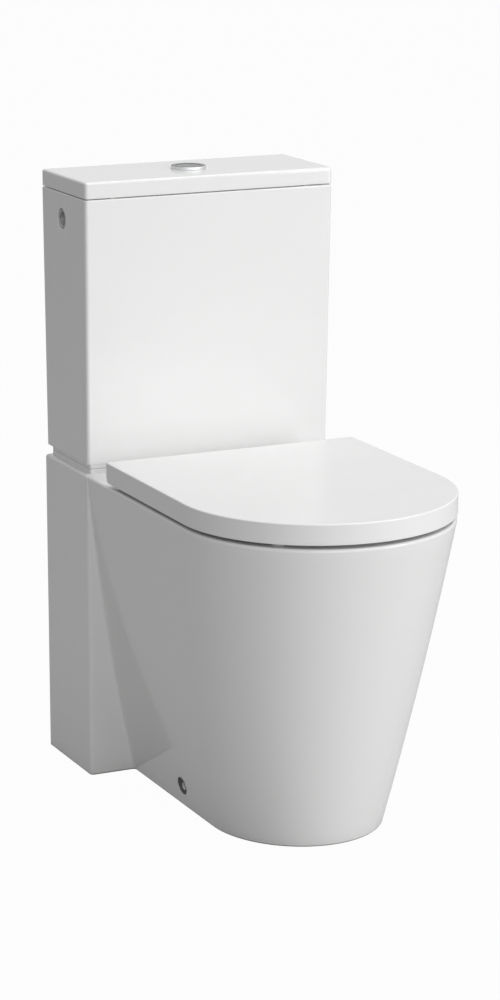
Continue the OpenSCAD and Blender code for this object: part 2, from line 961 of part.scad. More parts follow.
module valve_base() {
    color("steelblue")
    translate([0, valve_y, 0])
        difference() {
            union() {
                translate([0, 0, tail_low])
                    cylinder(r = tail_r, h = base_top - tail_low);
                translate([0, 0, floor_z + seal_height])
                    cylinder(r = tail_r + 11, h = base_flange);
                translate([0, 0, base_top - over])
                    cylinder(r = tail_r - 1.5, h = seat_lip + over);
            }
            translate([0, 0, tail_low - over])
                cylinder(r = tail_r - tail_wall, h = seat_z - tail_low + 2 * over);
        }
}

module base_seal() {
    color("black")
    translate([0, valve_y, floor_z])
        ring(tail_r + 12, tail_r + 0.3, seal_height);
}

module valve_backnut() {
    color("steelblue")
    translate([0, valve_y, cistern_bottom - backnut_height])
        difference() {
            cylinder(r = tail_r + 10, h = backnut_height, $fn = 8);
            translate([0, 0, -over])
                cylinder(r = tail_r + snug, h = backnut_height + 2 * over);
        }
}

module valve_housing() {
    window = 34;
    window_width = 26;
    guide = 14;
    guide_width = 8;
    guide_height = 6;
    guide_hole = 4.6;
    inner = housing_r - housing_wall;
    color("whitesmoke")
    translate([0, valve_y, 0])
        difference() {
            union() {
                translate([0, 0, base_top])
                    cylinder(r = housing_r, h = head_z + head_plate - base_top);
                for (drop = [12, 82])
                    translate([-housing_r - 11, half_rod_y - guide_width / 2, head_z - drop])
                        cube([guide, guide_width, guide_height]);
                rocker_ears(1, full_rod_y);
                rocker_ears(-1, half_rod_y);
            }
            translate([0, 0, base_top - over])
                cylinder(r = inner, h = head_z - base_top + over);
            translate([0, 0, head_z - over])
                cylinder(r = overflow_r + 5, h = head_plate + 2 * over);
            for (a = [45, 135])
                rotate([0, 0, a])
                    translate([-housing_r - over, -window_width / 2, base_top + 6])
                        cube([2 * housing_r + 2 * over, window_width, window]);
            translate([stem_x - guide_hole / 2, half_rod_y - guide_hole / 2, head_z - 90])
                cube([guide_hole, guide_hole, 100]);
            for (s = [-1, 1])
                translate([s * pivot_x, (s > 0 ? full_rod_y : half_rod_y) - 10, pivot_z])
                    rotate([-90, 0, 0])
                        cylinder(r = pin_r + snug, h = 20);
        }
}

// Two upright ears that hold a rocker's pin
module rocker_ears(side, y) {
    for (s = [-1, 1])
        translate([side * pivot_x - ear_width / 2, y + s * ear_offset - ear_thick / 2,
            head_z + over])
            cube([ear_width, ear_thick, rocker_top - head_z - over]);
}

module rocker_pins() {
    color("silver")
    translate([0, valve_y, pivot_z])
        for (s = [-1, 1])
            translate([s * pivot_x, (s > 0 ? full_rod_y : half_rod_y) - pin_length / 2, 0])
                rotate([-90, 0, 0])
                    cylinder(r = pin_r, h = pin_length);
}

// A rocker: a pad under the rod, an arm over the pin and a foot at its outer end
module rocker(side, y, foot_y0, foot_y1) {
    tail = 12;
    foot = 8;
    inner_end = rod_x - 2.5;
    color("orange")
    translate([0, valve_y, pivot_z])
        difference() {
            union() {
                translate([side > 0 ? inner_end : -pivot_x - tail, y - pad_half, -rocker_half])
                    cube([pivot_x + tail - inner_end, 2 * pad_half, 2 * rocker_half]);
                translate([side * (pivot_x + rocker_length - foot / 2) - foot / 2, foot_y0,
                    -rocker_half])
                    cube([foot, foot_y1 - foot_y0, 2 * rocker_half]);
            }
            translate([side * pivot_x, y - 10, 0])
                rotate([-90, 0, 0])
                    cylinder(r = pin_r + running, h = 20);
        }
}

module full_flush_rocker() {
    rocker(1, full_rod_y, -pad_half, full_rod_y + pad_half);
}

module half_flush_rocker() {
    rocker(-1, half_rod_y, half_rod_y - pad_half, half_rod_y + pad_half);
}

module flush_piston() {
    fin = 3;
    fin_height = 26;
    sleeve = 30;
    reach = housing_r - housing_wall - gap;
    color("steelblue")
    translate([0, valve_y, disc_z])
        difference() {
            union() {
                cylinder(r = tail_r, h = disc_height);
                cylinder(r = overflow_r + 3, h = sleeve);
                for (a = [0:90:270])
                    rotate([0, 0, a])
                        translate([overflow_r + 1, -fin / 2, 0])
                            cube([reach - overflow_r - 1, fin, fin_height]);
            }
            translate([0, 0, -over])
                cylinder(r = overflow_r - overflow_wall, h = sleeve);
            translate([0, 0, disc_height])
                cylinder(r = overflow_r + snug, h = sleeve);
        }
}

module piston_seal() {
    color("black")
    translate([0, valve_y, disc_z - piston_seal_height])
        ring(tail_r, overflow_r - overflow_wall, piston_seal_height);
}

module overflow_tube() {
    color("whitesmoke")
    translate([0, valve_y, disc_z + disc_height])
        ring(overflow_r, overflow_r - overflow_wall, overflow_top - disc_z - disc_height);
}

// Collar on the overflow tube with the bar that the full flush rocker lifts
module lift_head() {
    collar = 18;
    leg_x = overflow_r + 0.5;
    bridge = 9;
    bar_half = lift_width / 2;
    color("orange")
    translate([0, valve_y, overflow_top - collar])
        difference() {
            union() {
                cylinder(r = overflow_r + 2.5, h = collar);
                for (s = [-1, 1])
                    translate([s * leg_x - lift_bar / 2, -bar_half, collar - 2])
                        cube([lift_bar, lift_width, head_z + bridge + 1 - overflow_top + 2]);
                translate([-leg_x - lift_bar / 2, -bar_half,
                    collar + head_z + bridge + 1 - lift_bar - overflow_top])
                    cube([2 * leg_x + lift_bar, lift_width, lift_bar]);
                translate([-bar_half, -bar_half, collar + head_z + bridge - overflow_top])
                    cube([lift_width, lift_width, lift_under + lift_bar - head_z - bridge]);
                translate([-bar_half, -bar_half, collar + lift_under - overflow_top])
                    cube([pivot_x + rocker_length - 2 + bar_half, lift_width, lift_bar]);
            }
            translate([0, 0, -over])
                cylinder(r = overflow_r + snug, h = collar + over);
        }
}

module half_flush_slider() {
    low = head_z - 110;
    inner_end = -pivot_x - rocker_length + 8;
    color("orange")
    translate([0, valve_y + half_rod_y, 0]) {
        translate([stem_x - stem_half, -stem_half, low])
            cube([2 * stem_half, 2 * stem_half, lift_under + lift_bar - low]);
        translate([stem_x - stem_half, -2 * stem_half, lift_under])
            cube([inner_end - stem_x + stem_half, 4 * stem_half, lift_bar]);
    }
}

module half_flush_float() {
    size = [9, 36, 30];
    wall = 1.5;
    color("whitesmoke")
    translate([stem_x - 4, valve_y + half_rod_y - 30, head_z - 140])
        difference() {
            cube(size);
            translate([wall, wall, -over])
                cube([size.x - 2 * wall, size.y - 2 * wall, size.z - over]);
        }
}

// ---------------------------------------------------------------- supply

// Flanged shank that sits in the recess of a side hole, without its bore
module side_shank(s) {
    flange_x = side_x - flange_inset;
    bar_x(s * (flange_x - bush_flange), s * flange_x, inlet_y, inlet_z, inlet_recess_r - 0.4);
    bar_x(s * shank_end, s * (flange_x - bush_flange + 0.5), inlet_y, inlet_z, inlet_shank_r);
}

module inlet_bush() {
    color("silver")
    difference() {
        side_shank(-1);
        bar_x(-side_x + thread_depth, -side_x - over, inlet_y, inlet_z, inlet_thread_r);
        bar_x(-shank_end + over, -side_x, inlet_y, inlet_z, bush_bore);
    }
}

module side_washer(s) {
    color("black")
    difference() {
        bar_x(s * (boss_x - washer_height), s * boss_x, inlet_y, inlet_z, washer_r);
        bar_x(s * (boss_x - washer_height - over), s * (boss_x + over), inlet_y, inlet_z,
            inlet_shank_r + hole_gap);
    }
}

module side_nut(s) {
    outer = boss_x - washer_height;
    inner = outer - side_nut_height;
    color("gray")
    difference() {
        translate([s > 0 ? inner : -outer, inlet_y, inlet_z])
            rotate([0, 90, 0])
                cylinder(r = washer_r, h = side_nut_height, $fn = 6);
        bar_x(s * (inner - over), s * (outer + over), inlet_y, inlet_z,
            inlet_shank_r + snug);
    }
}

module inlet_washer() {
    side_washer(-1);
}

module inlet_nut() {
    side_nut(-1);
}

module blanking_plug() {
    color("silver")
    difference() {
        side_shank(1);
        bar_x(side_x - bush_flange, side_x + over, inlet_y, inlet_z, bush_bore);
    }
}

module plug_washer() {
    side_washer(1);
}

module plug_nut() {
    side_nut(1);
}

module fill_valve() {
    body_r = 13;
    bore_r = 9;
    foot = 6;
    low = inlet_z - 120;
    guide_z = lever_z - 80;
    guide = [valve_x - float_x + 6, 8, 4];
    guide_hole_r = 2.6;
    ear = [8, ear_thick, 12];
    color("whitesmoke")
    difference() {
        union() {
            translate([-valve_x, inlet_y, low])
                cylinder(r = body_r, h = lever_z - 6 - low);
            translate([-valve_x, inlet_y, low])
                cylinder(r = body_r + 3, h = foot);
            bar_x(-shank_end, -valve_x, inlet_y, inlet_z, bore_r);
            bar_x(-shank_end, -shank_end + 8, inlet_y, inlet_z, bore_r + 2);
            for (s = [-1, 1])
                translate([-valve_x + 8, inlet_y + s * ear_offset - ear_thick / 2,
                    lever_z - 8])
                    cube(ear);
            translate([-valve_x, inlet_y - guide.y / 2, guide_z])
                cube(guide);
        }
        translate([-valve_x, inlet_y, low - over])
            cylinder(r = bore_r, h = 100);
        bar_x(-shank_end - over, -valve_x, inlet_y, inlet_z, bush_bore);
        translate([-float_x, inlet_y, guide_z - over])
            cylinder(r = guide_hole_r, h = guide.z + 2 * over);
        translate([-valve_x + lever_offset, inlet_y - 10, lever_z])
            rotate([-90, 0, 0])
                cylinder(r = pin_r + snug, h = 20);
    }
}

module lever_pin() {
    color("silver")
    translate([-valve_x + lever_offset, inlet_y - pin_length / 2, lever_z])
        rotate([-90, 0, 0])
            cylinder(r = pin_r, h = pin_length);
}

module float_lever() {
    tip = 10;
    thick = 4;
    slot_start = arm - 3.5;
    slot_half = 2.6;
    color("steelblue")
    translate([-valve_x + lever_offset, inlet_y, lever_z])
        difference() {
            union() {
                translate([0, -pad_half, 0])
                    rotate([-90, 0, 0])
                        cylinder(r = pin_r + 2, h = 2 * pad_half);
                translate([0, -pad_half, -thick / 2])
                    cube([arm + tip, 2 * pad_half, thick]);
            }
            translate([0, -10, 0])
                rotate([-90, 0, 0])
                    cylinder(r = pin_r + running, h = 20);
            translate([slot_start, -slot_half, -10])
                cube([arm + tip - 2 - slot_start, 2 * slot_half, 20]);
        }
}

module float_rod() {
    color("silver")
    translate([-float_x, inlet_y, 0]) {
        translate([0, 0, lever_z - 105])
            cylinder(r = rod_thin, h = 120);
        for (z = [collar_offset, -collar_offset - collar_height])
            translate([0, 0, lever_z + z])
                cylinder(r = 2 * rod_thin, h = collar_height);
    }
}

module float_cup() {
    cup_r = 22;
    cup_height = 50;
    cup_wall = 2;
    color("whitesmoke")
    translate([-float_x, inlet_y, lever_z - 105 - cup_height])
        difference() {
            cylinder(r = cup_r, h = cup_height);
            translate([0, 0, -over])
                cylinder(r = cup_r - cup_wall, h = cup_height - cup_wall);
        }
}

// ---------------------------------------------------------------- coupling

module coupling_gasket() {
    outer = tail_r + 16;
    lower = neck_height - backnut_height - 0.4;
    color("dimgray")
    translate([0, valve_y, pan_height]) {
        ring(outer, tail_r + 3, lower);
        translate([0, 0, lower - slice])
            ring(outer, tail_r + 10.8, neck_height - lower + slice);
    }
}

module coupling_cushions() {
    color("dimgray")
    both_sides(coupling_centres / 2, valve_y, pan_height)
        ring(14, coupling_r + bolt_gap, neck_height);
}

module coupling_bolts() {
    under_head = floor_z + bolt_seal + washer;
    low = pan_height - deck - 22;
    color("gold")
    both_sides(coupling_centres / 2, valve_y, low) {
        cylinder(r = coupling_r, h = under_head - low);
        translate([0, 0, under_head - low])
            cylinder(r = 8, h = 5);
    }
}

module coupling_seals() {
    color("black")
    both_sides(coupling_centres / 2, valve_y, floor_z)
        ring(12, coupling_r + bolt_gap, bolt_seal);
}

module coupling_washers() {
    color("gold")
    both_sides(coupling_centres / 2, valve_y, 0) {
        translate([0, 0, floor_z + bolt_seal])
            ring(11, coupling_r + bolt_gap, washer);
        translate([0, 0, pan_height - deck - washer])
            ring(13, coupling_r + bolt_gap, washer);
    }
}

module wing_nuts() {
    hub = 9;
    wing = [34, 3, 8];
    color("gold")
    both_sides(coupling_centres / 2, valve_y, pan_height - deck - washer - hub)
        difference() {
            union() {
                cylinder(r = 8, h = hub);
                translate([-wing.x / 2, -wing.y / 2, 1])
                    cube(wing);
            }
            translate([0, 0, -over])
                cylinder(r = coupling_r + snug, h = hub + 2 * over);
        }
}

// ---------------------------------------------------------------- floor fixing

module side_bushes() {
    depth = 15;
    wall = 3;
    socket = 6;
    start = fixing_x - 3;
    color("gray")
    for (s = [-1, 1])
        difference() {
            bar_x(s * (start - depth), s * start, fixing_y, fixing_height, fixing_r - 0.3);
            bar_x(s * (start - depth - over), s * (start + over), fixing_y, fixing_height,
                coupling_r + hole_gap);
            bar_x(s * (start - socket), s * (start + over), fixing_y, fixing_height,
                fixing_r - wall);
        }
}

module side_screws() {
    start = fixing_x - 9;
    head = 4.5;
    key_r = 3;
    key_depth = 1;
    color("silver")
    for (s = [-1, 1])
        difference() {
            union() {
                bar_x(s * (bracket_x - 24), s * (start + 1), fixing_y, fixing_height,
                    coupling_r);
                bar_x(s * start, s * (start + head), fixing_y, fixing_height, bolt_head_r);
            }
            translate([s * (start + head - key_depth), fixing_y, fixing_height])
                rotate([0, 90, 0])
                    cylinder(r = key_r, h = 4 * key_depth, center = true, $fn = 6);
        }
}

module floor_brackets() {
    plate = 8;
    foot = 40;
    foot_height = 6;
    color("gray")
    for (s = [-1, 1])
        difference() {
            union() {
                translate([s * (bracket_x - plate / 2), fixing_y, bracket_height / 2])
                    cube([plate, foot, bracket_height], center = true);
                translate([s * (bracket_x - foot / 2), fixing_y, foot_height / 2])
                    cube([foot, foot, foot_height], center = true);
            }
            bar_x(s * (bracket_x - plate - over), s * (bracket_x + over), fixing_y,
                fixing_height, coupling_r + snug);
            translate([s * (bracket_x - 24), fixing_y, -over])
                cylinder(r = coupling_r, h = 10);
        }
}

pan();
trapway();
pan_neck();
cistern();
cistern_lid();
lid_pads();
seat_cover();
seat_ring();
cover_buffers();
ring_buffers();
hinge_posts();
hinge_pins();
dampers(-1);  // ring_dampers
dampers(1);  // cover_dampers
seat_bolts();
seat_bushes();
seat_nuts();
button_bezel();
bezel_gasket();
bezel_nut();
full_flush_button();
half_flush_button();
full_flush_rod();
half_flush_rod();
full_flush_spring();
half_flush_spring();
valve_base();
base_seal();
valve_backnut();
valve_housing();
rocker_pins();
full_flush_rocker();
half_flush_rocker();
flush_piston();
piston_seal();
overflow_tube();
lift_head();
half_flush_slider();
half_flush_float();
inlet_bush();
inlet_washer();
inlet_nut();
fill_valve();
lever_pin();
float_lever();
float_rod();
float_cup();
blanking_plug();
plug_washer();
plug_nut();
coupling_gasket();
coupling_cushions();
coupling_bolts();
coupling_seals();
coupling_washers();
wing_nuts();
side_bushes();
side_screws();
floor_brackets();
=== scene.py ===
# Close coupled toilet: a skirted china pan, a cistern with a lift-off lid and a push button,
# a dual flush valve, a side-entry fill valve and a soft-closing seat. The sections follow
# the order in which the toilet is put together.
from math import asin, atan2, cos, degrees, hypot, pi, radians, sin, sqrt

import bpy
import bmesh
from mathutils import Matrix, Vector


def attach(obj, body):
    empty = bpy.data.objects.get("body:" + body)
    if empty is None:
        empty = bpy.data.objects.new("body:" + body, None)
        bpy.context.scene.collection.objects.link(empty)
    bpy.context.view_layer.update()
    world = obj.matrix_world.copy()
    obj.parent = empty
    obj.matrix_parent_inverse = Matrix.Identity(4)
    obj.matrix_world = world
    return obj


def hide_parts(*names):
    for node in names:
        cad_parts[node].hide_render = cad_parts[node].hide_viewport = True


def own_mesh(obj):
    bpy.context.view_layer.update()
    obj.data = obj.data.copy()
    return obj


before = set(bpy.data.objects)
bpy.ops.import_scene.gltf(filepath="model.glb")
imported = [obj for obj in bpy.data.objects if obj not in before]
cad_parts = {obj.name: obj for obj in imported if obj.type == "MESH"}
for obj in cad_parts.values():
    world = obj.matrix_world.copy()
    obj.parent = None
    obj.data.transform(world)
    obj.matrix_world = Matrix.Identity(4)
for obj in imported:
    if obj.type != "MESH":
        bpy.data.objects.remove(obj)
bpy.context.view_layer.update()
bpy.ops.object.select_all(action="DESELECT")

# ------ pan
# The pan is one casting of vitreous china under a glossy white glaze: a skirt that tapers
# to the floor, a square block at the wall, the bowl, the trap and the rim of the neck.
# It is slip cast hollow, open below and at the back, and the glaze rounds every edge.


def feed(tree, node, feeds):
    """Gives each input a plain value, or joins it to the output of another node."""
    for socket, source in feeds.items():
        if isinstance(source, bpy.types.NodeSocket):
            tree.links.new(source, node.inputs[socket])
        else:
            node.inputs[socket].default_value = source


def add_node(tree, kind, output, feeds, **settings):
    """Adds a shader node, sets it up and returns the output to go on from."""
    node = tree.nodes.new("ShaderNode" + kind)
    for setting, value in settings.items():
        setattr(node, setting, value)
    feed(tree, node, feeds)
    return node.outputs[output]


def china_glaze(name, grain):
    """Glossy sanitary glaze with faint clouds, pinholes and a slow ripple; the foot stays matt and
    is painted dark as a contact shadow.
    """
    paint = bpy.data.materials.new(name)
    paint.use_nodes = True
    tree = paint.node_tree
    place = add_node(tree, "TexCoord", "Object", {})
    cloud = add_node(tree, "TexNoise", "Fac", {"Vector": place, "Scale": grain, "Detail": 3})
    glaze = add_node(tree, "Mix", "Result", {"Factor": cloud, "A": (0.822, 0.822, 0.818, 1),
                                             "B": (0.848, 0.848, 0.846, 1)}, data_type="RGBA")
    height = add_node(tree, "SeparateXYZ", "Z", {"Vector": place})
    # The lowest two millimetres or so turn matt like bare china and darken to a brown grey: painted
    # contact shadow along the floor.
    foot = add_node(tree, "MapRange", "Result",
                    {"Value": height, "From Min": 0.0026, "From Max": 0.0016})
    colour = add_node(tree, "Mix", "Result",
                      {"Factor": foot, "A": glaze, "B": (0.34, 0.33, 0.30, 1)}, data_type="RGBA")
    sheen = add_node(tree, "MapRange", "Result", {"Value": cloud, "To Min": 0.07, "To Max": 0.13})
    dull = add_node(tree, "Math", "Value", {0: foot, 1: 0.6, 2: sheen}, operation="MULTIPLY_ADD")
    ripple = add_node(tree, "TexNoise", "Fac", {"Vector": place, "Scale": grain * 4, "Detail": 1})
    pin = add_node(tree, "TexVoronoi", "Distance", {"Vector": place, "Scale": 55})
    pinhole = add_node(tree, "MapRange", "Result", {"Value": pin, "From Min": 0, "From Max": 0.02})
    skin = add_node(tree, "Math", "Value", {0: pinhole, 1: 0.15, 2: ripple},
                    operation="MULTIPLY_ADD")
    relief = add_node(tree, "Bump", "Normal", {"Height": skin, "Strength": 0.06, "Distance": 0.001})
    feed(tree, tree.nodes["Principled BSDF"],
         {"IOR": 1.46, "Base Color": colour, "Roughness": dull, "Normal": relief})
    return paint


def turn_angles(count):
    """Angles of one full turn in equal steps."""
    return [2 * pi * k / count for k in range(count)]


def round_over(radius, steps):
    """(step inwards, distance below the face) pairs of a rounded edge, from side to face."""
    return [(radius * (1 - cos(pi / 2 * k / steps)), radius * (1 - sin(pi / 2 * k / steps)))
            for k in range(steps + 1)]


def arc(cx, cy, rx, ry, start, end, steps):
    """Points of an oval arc between two angles in degrees, both ends among them."""
    return [(cx + rx * cos(radians(start + (end - start) * k / steps)),
             cy + ry * sin(radians(start + (end - start) * k / steps)))
            for k in range(steps + 1)]


def mirrored_ring(side, z):
    """Whole ring from its right half, whose first and last points lie on the middle."""
    return [(x, y, z) for x, y in side] + [(-x, y, z) for x, y in side[-2:0:-1]]


def loft(name, rings, ends="NGON"):
    """One skin grown ring by ring with extrude; ends NOTHING joins the last ring to the first."""
    bpy.ops.object.select_all(action="DESELECT")
    bpy.ops.mesh.primitive_circle_add(vertices=len(rings[0]), fill_type=ends)
    skin = bpy.context.object
    skin.name = name
    skin.data.name = name
    bpy.ops.object.mode_set(mode="EDIT")
    bpy.ops.mesh.select_all(action="SELECT")
    for level, ring in enumerate(rings):
        if level:
            bpy.ops.mesh.extrude_region_move()
        mesh = bmesh.from_edit_mesh(skin.data)
        for vert, spot in zip([v for v in mesh.verts if v.select], ring):
            vert.co = spot
        bmesh.update_edit_mesh(skin.data)
    if ends == "NOTHING":
        bpy.ops.mesh.select_all(action="DESELECT")
        bpy.ops.mesh.select_non_manifold()
        bpy.ops.mesh.bridge_edge_loops()
    bpy.ops.mesh.select_all(action="SELECT")
    bpy.ops.mesh.remove_doubles(threshold=0.00001)
    bpy.ops.mesh.normals_make_consistent(inside=False)
    bpy.ops.object.mode_set(mode="OBJECT")
    return skin


def pick(piece):
    """Makes the piece the only selected one."""
    bpy.ops.object.select_all(action="DESELECT")
    bpy.context.view_layer.objects.active = piece
    piece.select_set(True)


def apply_step(piece, kind, **settings):
    """Adds a modifier with its settings and applies it."""
    step = piece.modifiers.new(kind.lower(), kind)
    for setting, value in settings.items():
        setattr(step, setting, value)
    pick(piece)
    bpy.ops.object.modifier_apply(modifier=step.name)
    return piece


def edit_all(*steps):
    """Runs edit-mode tools, each with its settings, on the whole of the picked piece."""
    bpy.ops.object.mode_set(mode="EDIT")
    bpy.ops.mesh.select_all(action="SELECT")
    for tool, settings in steps:
        tool(**settings)
    bpy.ops.object.mode_set(mode="OBJECT")


def carve(piece, tool, action="DIFFERENCE"):
    """Cuts the tool out of the piece, or joins it on, and throws the tool away."""
    apply_step(piece, "BOOLEAN", operation=action, solver="EXACT", object=tool)
    bpy.data.objects.remove(tool)
    edit_all((bpy.ops.mesh.dissolve_degenerate, {"threshold": 0.000002}))


def soften(piece, width, segments, angle=30):
    """Rounds the piece's edges that are sharper than an angle."""
    return apply_step(piece, "BEVEL", width=width, segments=segments, limit_method="ANGLE",
                      angle_limit=radians(angle))


def block(name, low, high):
    """A box between two corners."""
    bpy.ops.object.select_all(action="DESELECT")
    bpy.ops.mesh.primitive_cube_add(size=1, location=[(a + b) / 2 for a, b in zip(low, high)])
    box = bpy.context.object
    box.name = name
    box.scale = [b - a for a, b in zip(low, high)]
    bpy.ops.object.transform_apply(location=True, rotation=True, scale=True)
    return box


def rod(name, start, end, radius, sides=48):
    """A round bar between two points."""
    start = Vector(start)
    end = Vector(end)
    bpy.ops.object.select_all(action="DESELECT")
    bpy.ops.mesh.primitive_cylinder_add(vertices=sides, radius=radius, depth=(end - start).length,
                                        location=(start + end) / 2,
                                        rotation=(end - start).to_track_quat("Z", "Y").to_euler())
    bar = bpy.context.object
    bar.name = name
    bpy.ops.object.transform_apply(location=True, rotation=True, scale=True)
    return bar


def finish(piece, body, paint, angle=35):
    """Smooth shading up to an angle, one material, and the piece's body and finish."""
    pick(piece)
    bpy.ops.object.shade_smooth_by_angle(angle=radians(angle))
    piece.data.materials.clear()
    piece.data.materials.append(paint)
    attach(piece, body)


pan_top = 0.430
pan_wall = 0.011
pan_edge = 0.0048
deck = 0.016
wall_y = 0.330
block_half = 0.185
block_front = 0.179
foot_half = 0.118
flare = 0.067
belly = 0.007
foot_nose = 0.132
nose_flare = 0.053
foot_centre = -0.0825
centre_shift = 0.0625


def skirt_share(z):
    """Share of the skirt's flare that is reached at a height; its sides belly out a little."""
    t = max(0.0, min(1.0, z / pan_top))
    return t + 4 * belly / flare * t * (1 - t)


def skirt_half(z):
    return foot_half + flare * skirt_share(z)


def skirt_ring(z, inset=0.0, rear=None):
    """Outline of the pan at a height: half-oval nose, straight sides, then the square block."""
    t = max(0.0, min(1.0, z / pan_top))
    half = skirt_half(z) - inset
    nose = foot_nose + nose_flare * skirt_share(z) - inset
    centre = foot_centre - centre_shift * (t - 0.34 * t * (1 - t))
    rear = wall_y - inset if rear is None else rear
    outer = block_half - inset
    face = block_front + inset
    step = outer - half
    corner = min(0.006, 0.5 * step)
    crease = min(0.005, 0.45 * step)
    side = [(outer * k / 9, rear) for k in range(10)]
    side += [(outer, rear + (face + corner - rear) * k / 6) for k in range(1, 6)]
    side += arc(outer - corner, face + corner, corner, corner, 0, -90, 6)
    side += arc(half + crease, face - crease, crease, crease, 90, 180, 5)
    side += [(half, face - crease + (centre - face + crease) * k / 28) for k in range(1, 28)]
    side += arc(0, centre, half, nose, 0, -90, 34)
    side[-1] = (0.0, centre - nose)
    return mirrored_ring(side, z)


def bowl_middle(nose_y, rear_y):
    """Where the bowl is widest."""
    return nose_y + 0.42 * (rear_y - nose_y)


def oval_ring(half, nose_y, rear_y, z, turns):
    """Outline of the bowl: a half-oval nose and a half-oval back, at the given turns."""
    middle = bowl_middle(nose_y, rear_y)
    ring = []
    for a in turns:
        reach = middle - nose_y if cos(a) > 0 else rear_y - middle
        ring.append((half * sin(a), middle - reach * cos(a), z))
    return ring


# Height, half width, front and back of the bowl's inside, from its lip to the sump
bowl_rows = [(0.425, 0.1440, -0.2850, 0.0700), (0.370, 0.1415, -0.2828, 0.0680),
             (0.300, 0.1210, -0.2505, 0.0560), (0.238, 0.0835, -0.1890, 0.0385),
             (0.170, 0.0610, -0.1350, 0.0360), (0.110, 0.0460, -0.0920, 0.0340),
             (0.088, 0.0380, -0.0790, 0.0240), (0.076, 0.0230, -0.0580, 0.0040),
             (0.0725, 0.0070, -0.0360, -0.0180)]


def bowl_row(u):
    """Smooth curve through the bowl's rows at a place between 0 and 8."""
    k = min(int(u), len(bowl_rows) - 2)
    f = u - k
    p0, p1, p2, p3 = (bowl_rows[max(0, min(len(bowl_rows) - 1, k + d))] for d in (-1, 0, 1, 2))
    return [0.5 * (2 * b + (c - a) * f + (2 * a - 5 * b + 4 * c - d) * f * f
                   + (3 * b - a - 3 * c + d) * f ** 3) for a, b, c, d in zip(p0, p1, p2, p3)]


def bowl_rings(grow, turns):
    """Rings of the bowl, from the lip down, drawn out by the china's thickness."""
    rings = []
    for k in range(33):
        z, half, nose_y, rear_y = bowl_row(k / 4)
        rings.append(oval_ring(half + grow, nose_y - grow, rear_y + grow,
                               z - grow * max(0.0, (0.110 - z) / 0.0375), turns))
    return rings


def pipe_rings(line, radii):
    """Rings of a pipe along (y, z) points, each on the plane that halves its bend."""
    rings = []
    for k, (y, z) in enumerate(line):
        into = Vector(line[k]) - Vector(line[k - 1]) if k else Vector(line[1]) - Vector(line[0])
        out_of = Vector(line[k + 1]) - Vector(line[k]) if k < len(line) - 1 else into
        into.normalize()
        out_of = out_of.normalized()
        along = (into + out_of).normalized()
        reach = radii[k] / along.dot(into)
        rings.append([(radii[k] * cos(a), y - along.y * reach * sin(a),
                       z + along.x * reach * sin(a)) for a in turn_angles(48)])
    return rings


# Skin: up the skirt, round the upper edge, over the deck and down the inside of the bowl
foot_round = 0.002
rings = [skirt_ring(d, i) for i, d in reversed(round_over(foot_round, 3))]
rings += [skirt_ring(foot_round + (pan_top - pan_edge - foot_round) * k / 26) for k in range(1, 26)]
rings += [skirt_ring(pan_top - d, i) for i, d in round_over(pan_edge, 6)]
rings.append(skirt_ring(pan_top, pan_edge + 0.0015))
lip = 0.005
half, nose_y, rear_y = bowl_rows[0][1:]
middle = bowl_middle(nose_y, rear_y)
turns = []
for x, y, z in rings[-1]:
    reach = middle - nose_y if y < middle else rear_y - middle
    turns.append(atan2(x / half, (middle - y) / reach))
rings.append(oval_ring(half + lip + 0.0015, nose_y - lip - 0.0015, rear_y + lip + 0.0015,
                       pan_top, turns))
rings += [oval_ring(half + lip - i, nose_y - lip + i, rear_y + lip - i, pan_top - lip + d, turns)
          for i, d in ((lip - d, lip - i) for i, d in round_over(lip, 4)[::-1])]
rings += bowl_rings(0.0, turns)[1:]
pan = loft("pan_china", rings)

# Hollow: the skirt's inside less the bowl's shell, the trap and the water way
top = pan_top - deck
under_round = 0.012
open_back = 0.345
levels = [-0.01] + [0.02 * k for k in range(20)] + [top - under_round]
rings = [skirt_ring(z, pan_wall, open_back) for z in levels]
rings += [[(x, y, top - d) for x, y, z in skirt_ring(top - under_round, pan_wall + i, open_back)]
          for i, d in round_over(under_round, 4)[1:]]
hollow = loft("hollow", rings)
shell = bowl_rings(pan_wall, turns)
shell.insert(0, [(x, y, pan_top - 0.003) for x, y, z in shell[0]])
carve(hollow, loft("shell", shell))
waste_z = 0.180
valve_y = 0.250
post_x = 0.0775
bolt_y = 0.0803
bolt_x = 0.080
trap_line = [(-0.026, 0.110), (0.030, 0.104), (0.115, 0.228), (0.190, waste_z)]
body_line = trap_line + [(y, waste_z) for y in (0.2045, 0.2075, 0.210, 0.311, 0.314, 0.315)]
body_radii = [0.047] * 5 + [0.0505, 0.051, 0.051, 0.0495, 0.0475]
carve(hollow, soften(loft("trap_body", pipe_rings(body_line, body_radii)), 0.010, 4, 20))
carve(hollow, block("channel_walls", (-0.038, 0.050, 0.362), (0.038, valve_y, 0.420)))
carve(hollow, rod("channel_end", (0, valve_y, 0.361), (0, valve_y, 0.421), 0.044))
carve(pan, hollow)
bore_line = trap_line + [(y, waste_z) for y in (0.206, 0.210, 0.214, 0.310, 0.3135, 0.320)]
bore_radii = [0.038] * 5 + [0.0405, 0.043, 0.043, 0.044, 0.0475]
carve(pan, soften(loft("trap_bore", pipe_rings(bore_line, bore_radii)), 0.008, 4, 20))
carve(pan, soften(block("channel", (-0.030, 0.058, 0.370), (0.030, valve_y, 0.410)), 0.008, 4))
carve(pan, rod("inlet_hole", (0, valve_y, 0.372), (0, valve_y, 0.440), 0.036, 64))
for side in (-1, 1):
    for name, x, y, radius in (("seat_hole", post_x, bolt_y, 0.0075),
                               ("coupling_hole", bolt_x, valve_y, 0.0055)):
        carve(pan, rod(name, (side * x, y, 0.400), (side * x, y, 0.440), radius))

# Rim of the neck, which keeps the cistern a finger's breadth above the pan
neck_half = 0.177
neck_front = 0.187
neck_rear = 0.325
neck_band = 0.010
support = 0.0015


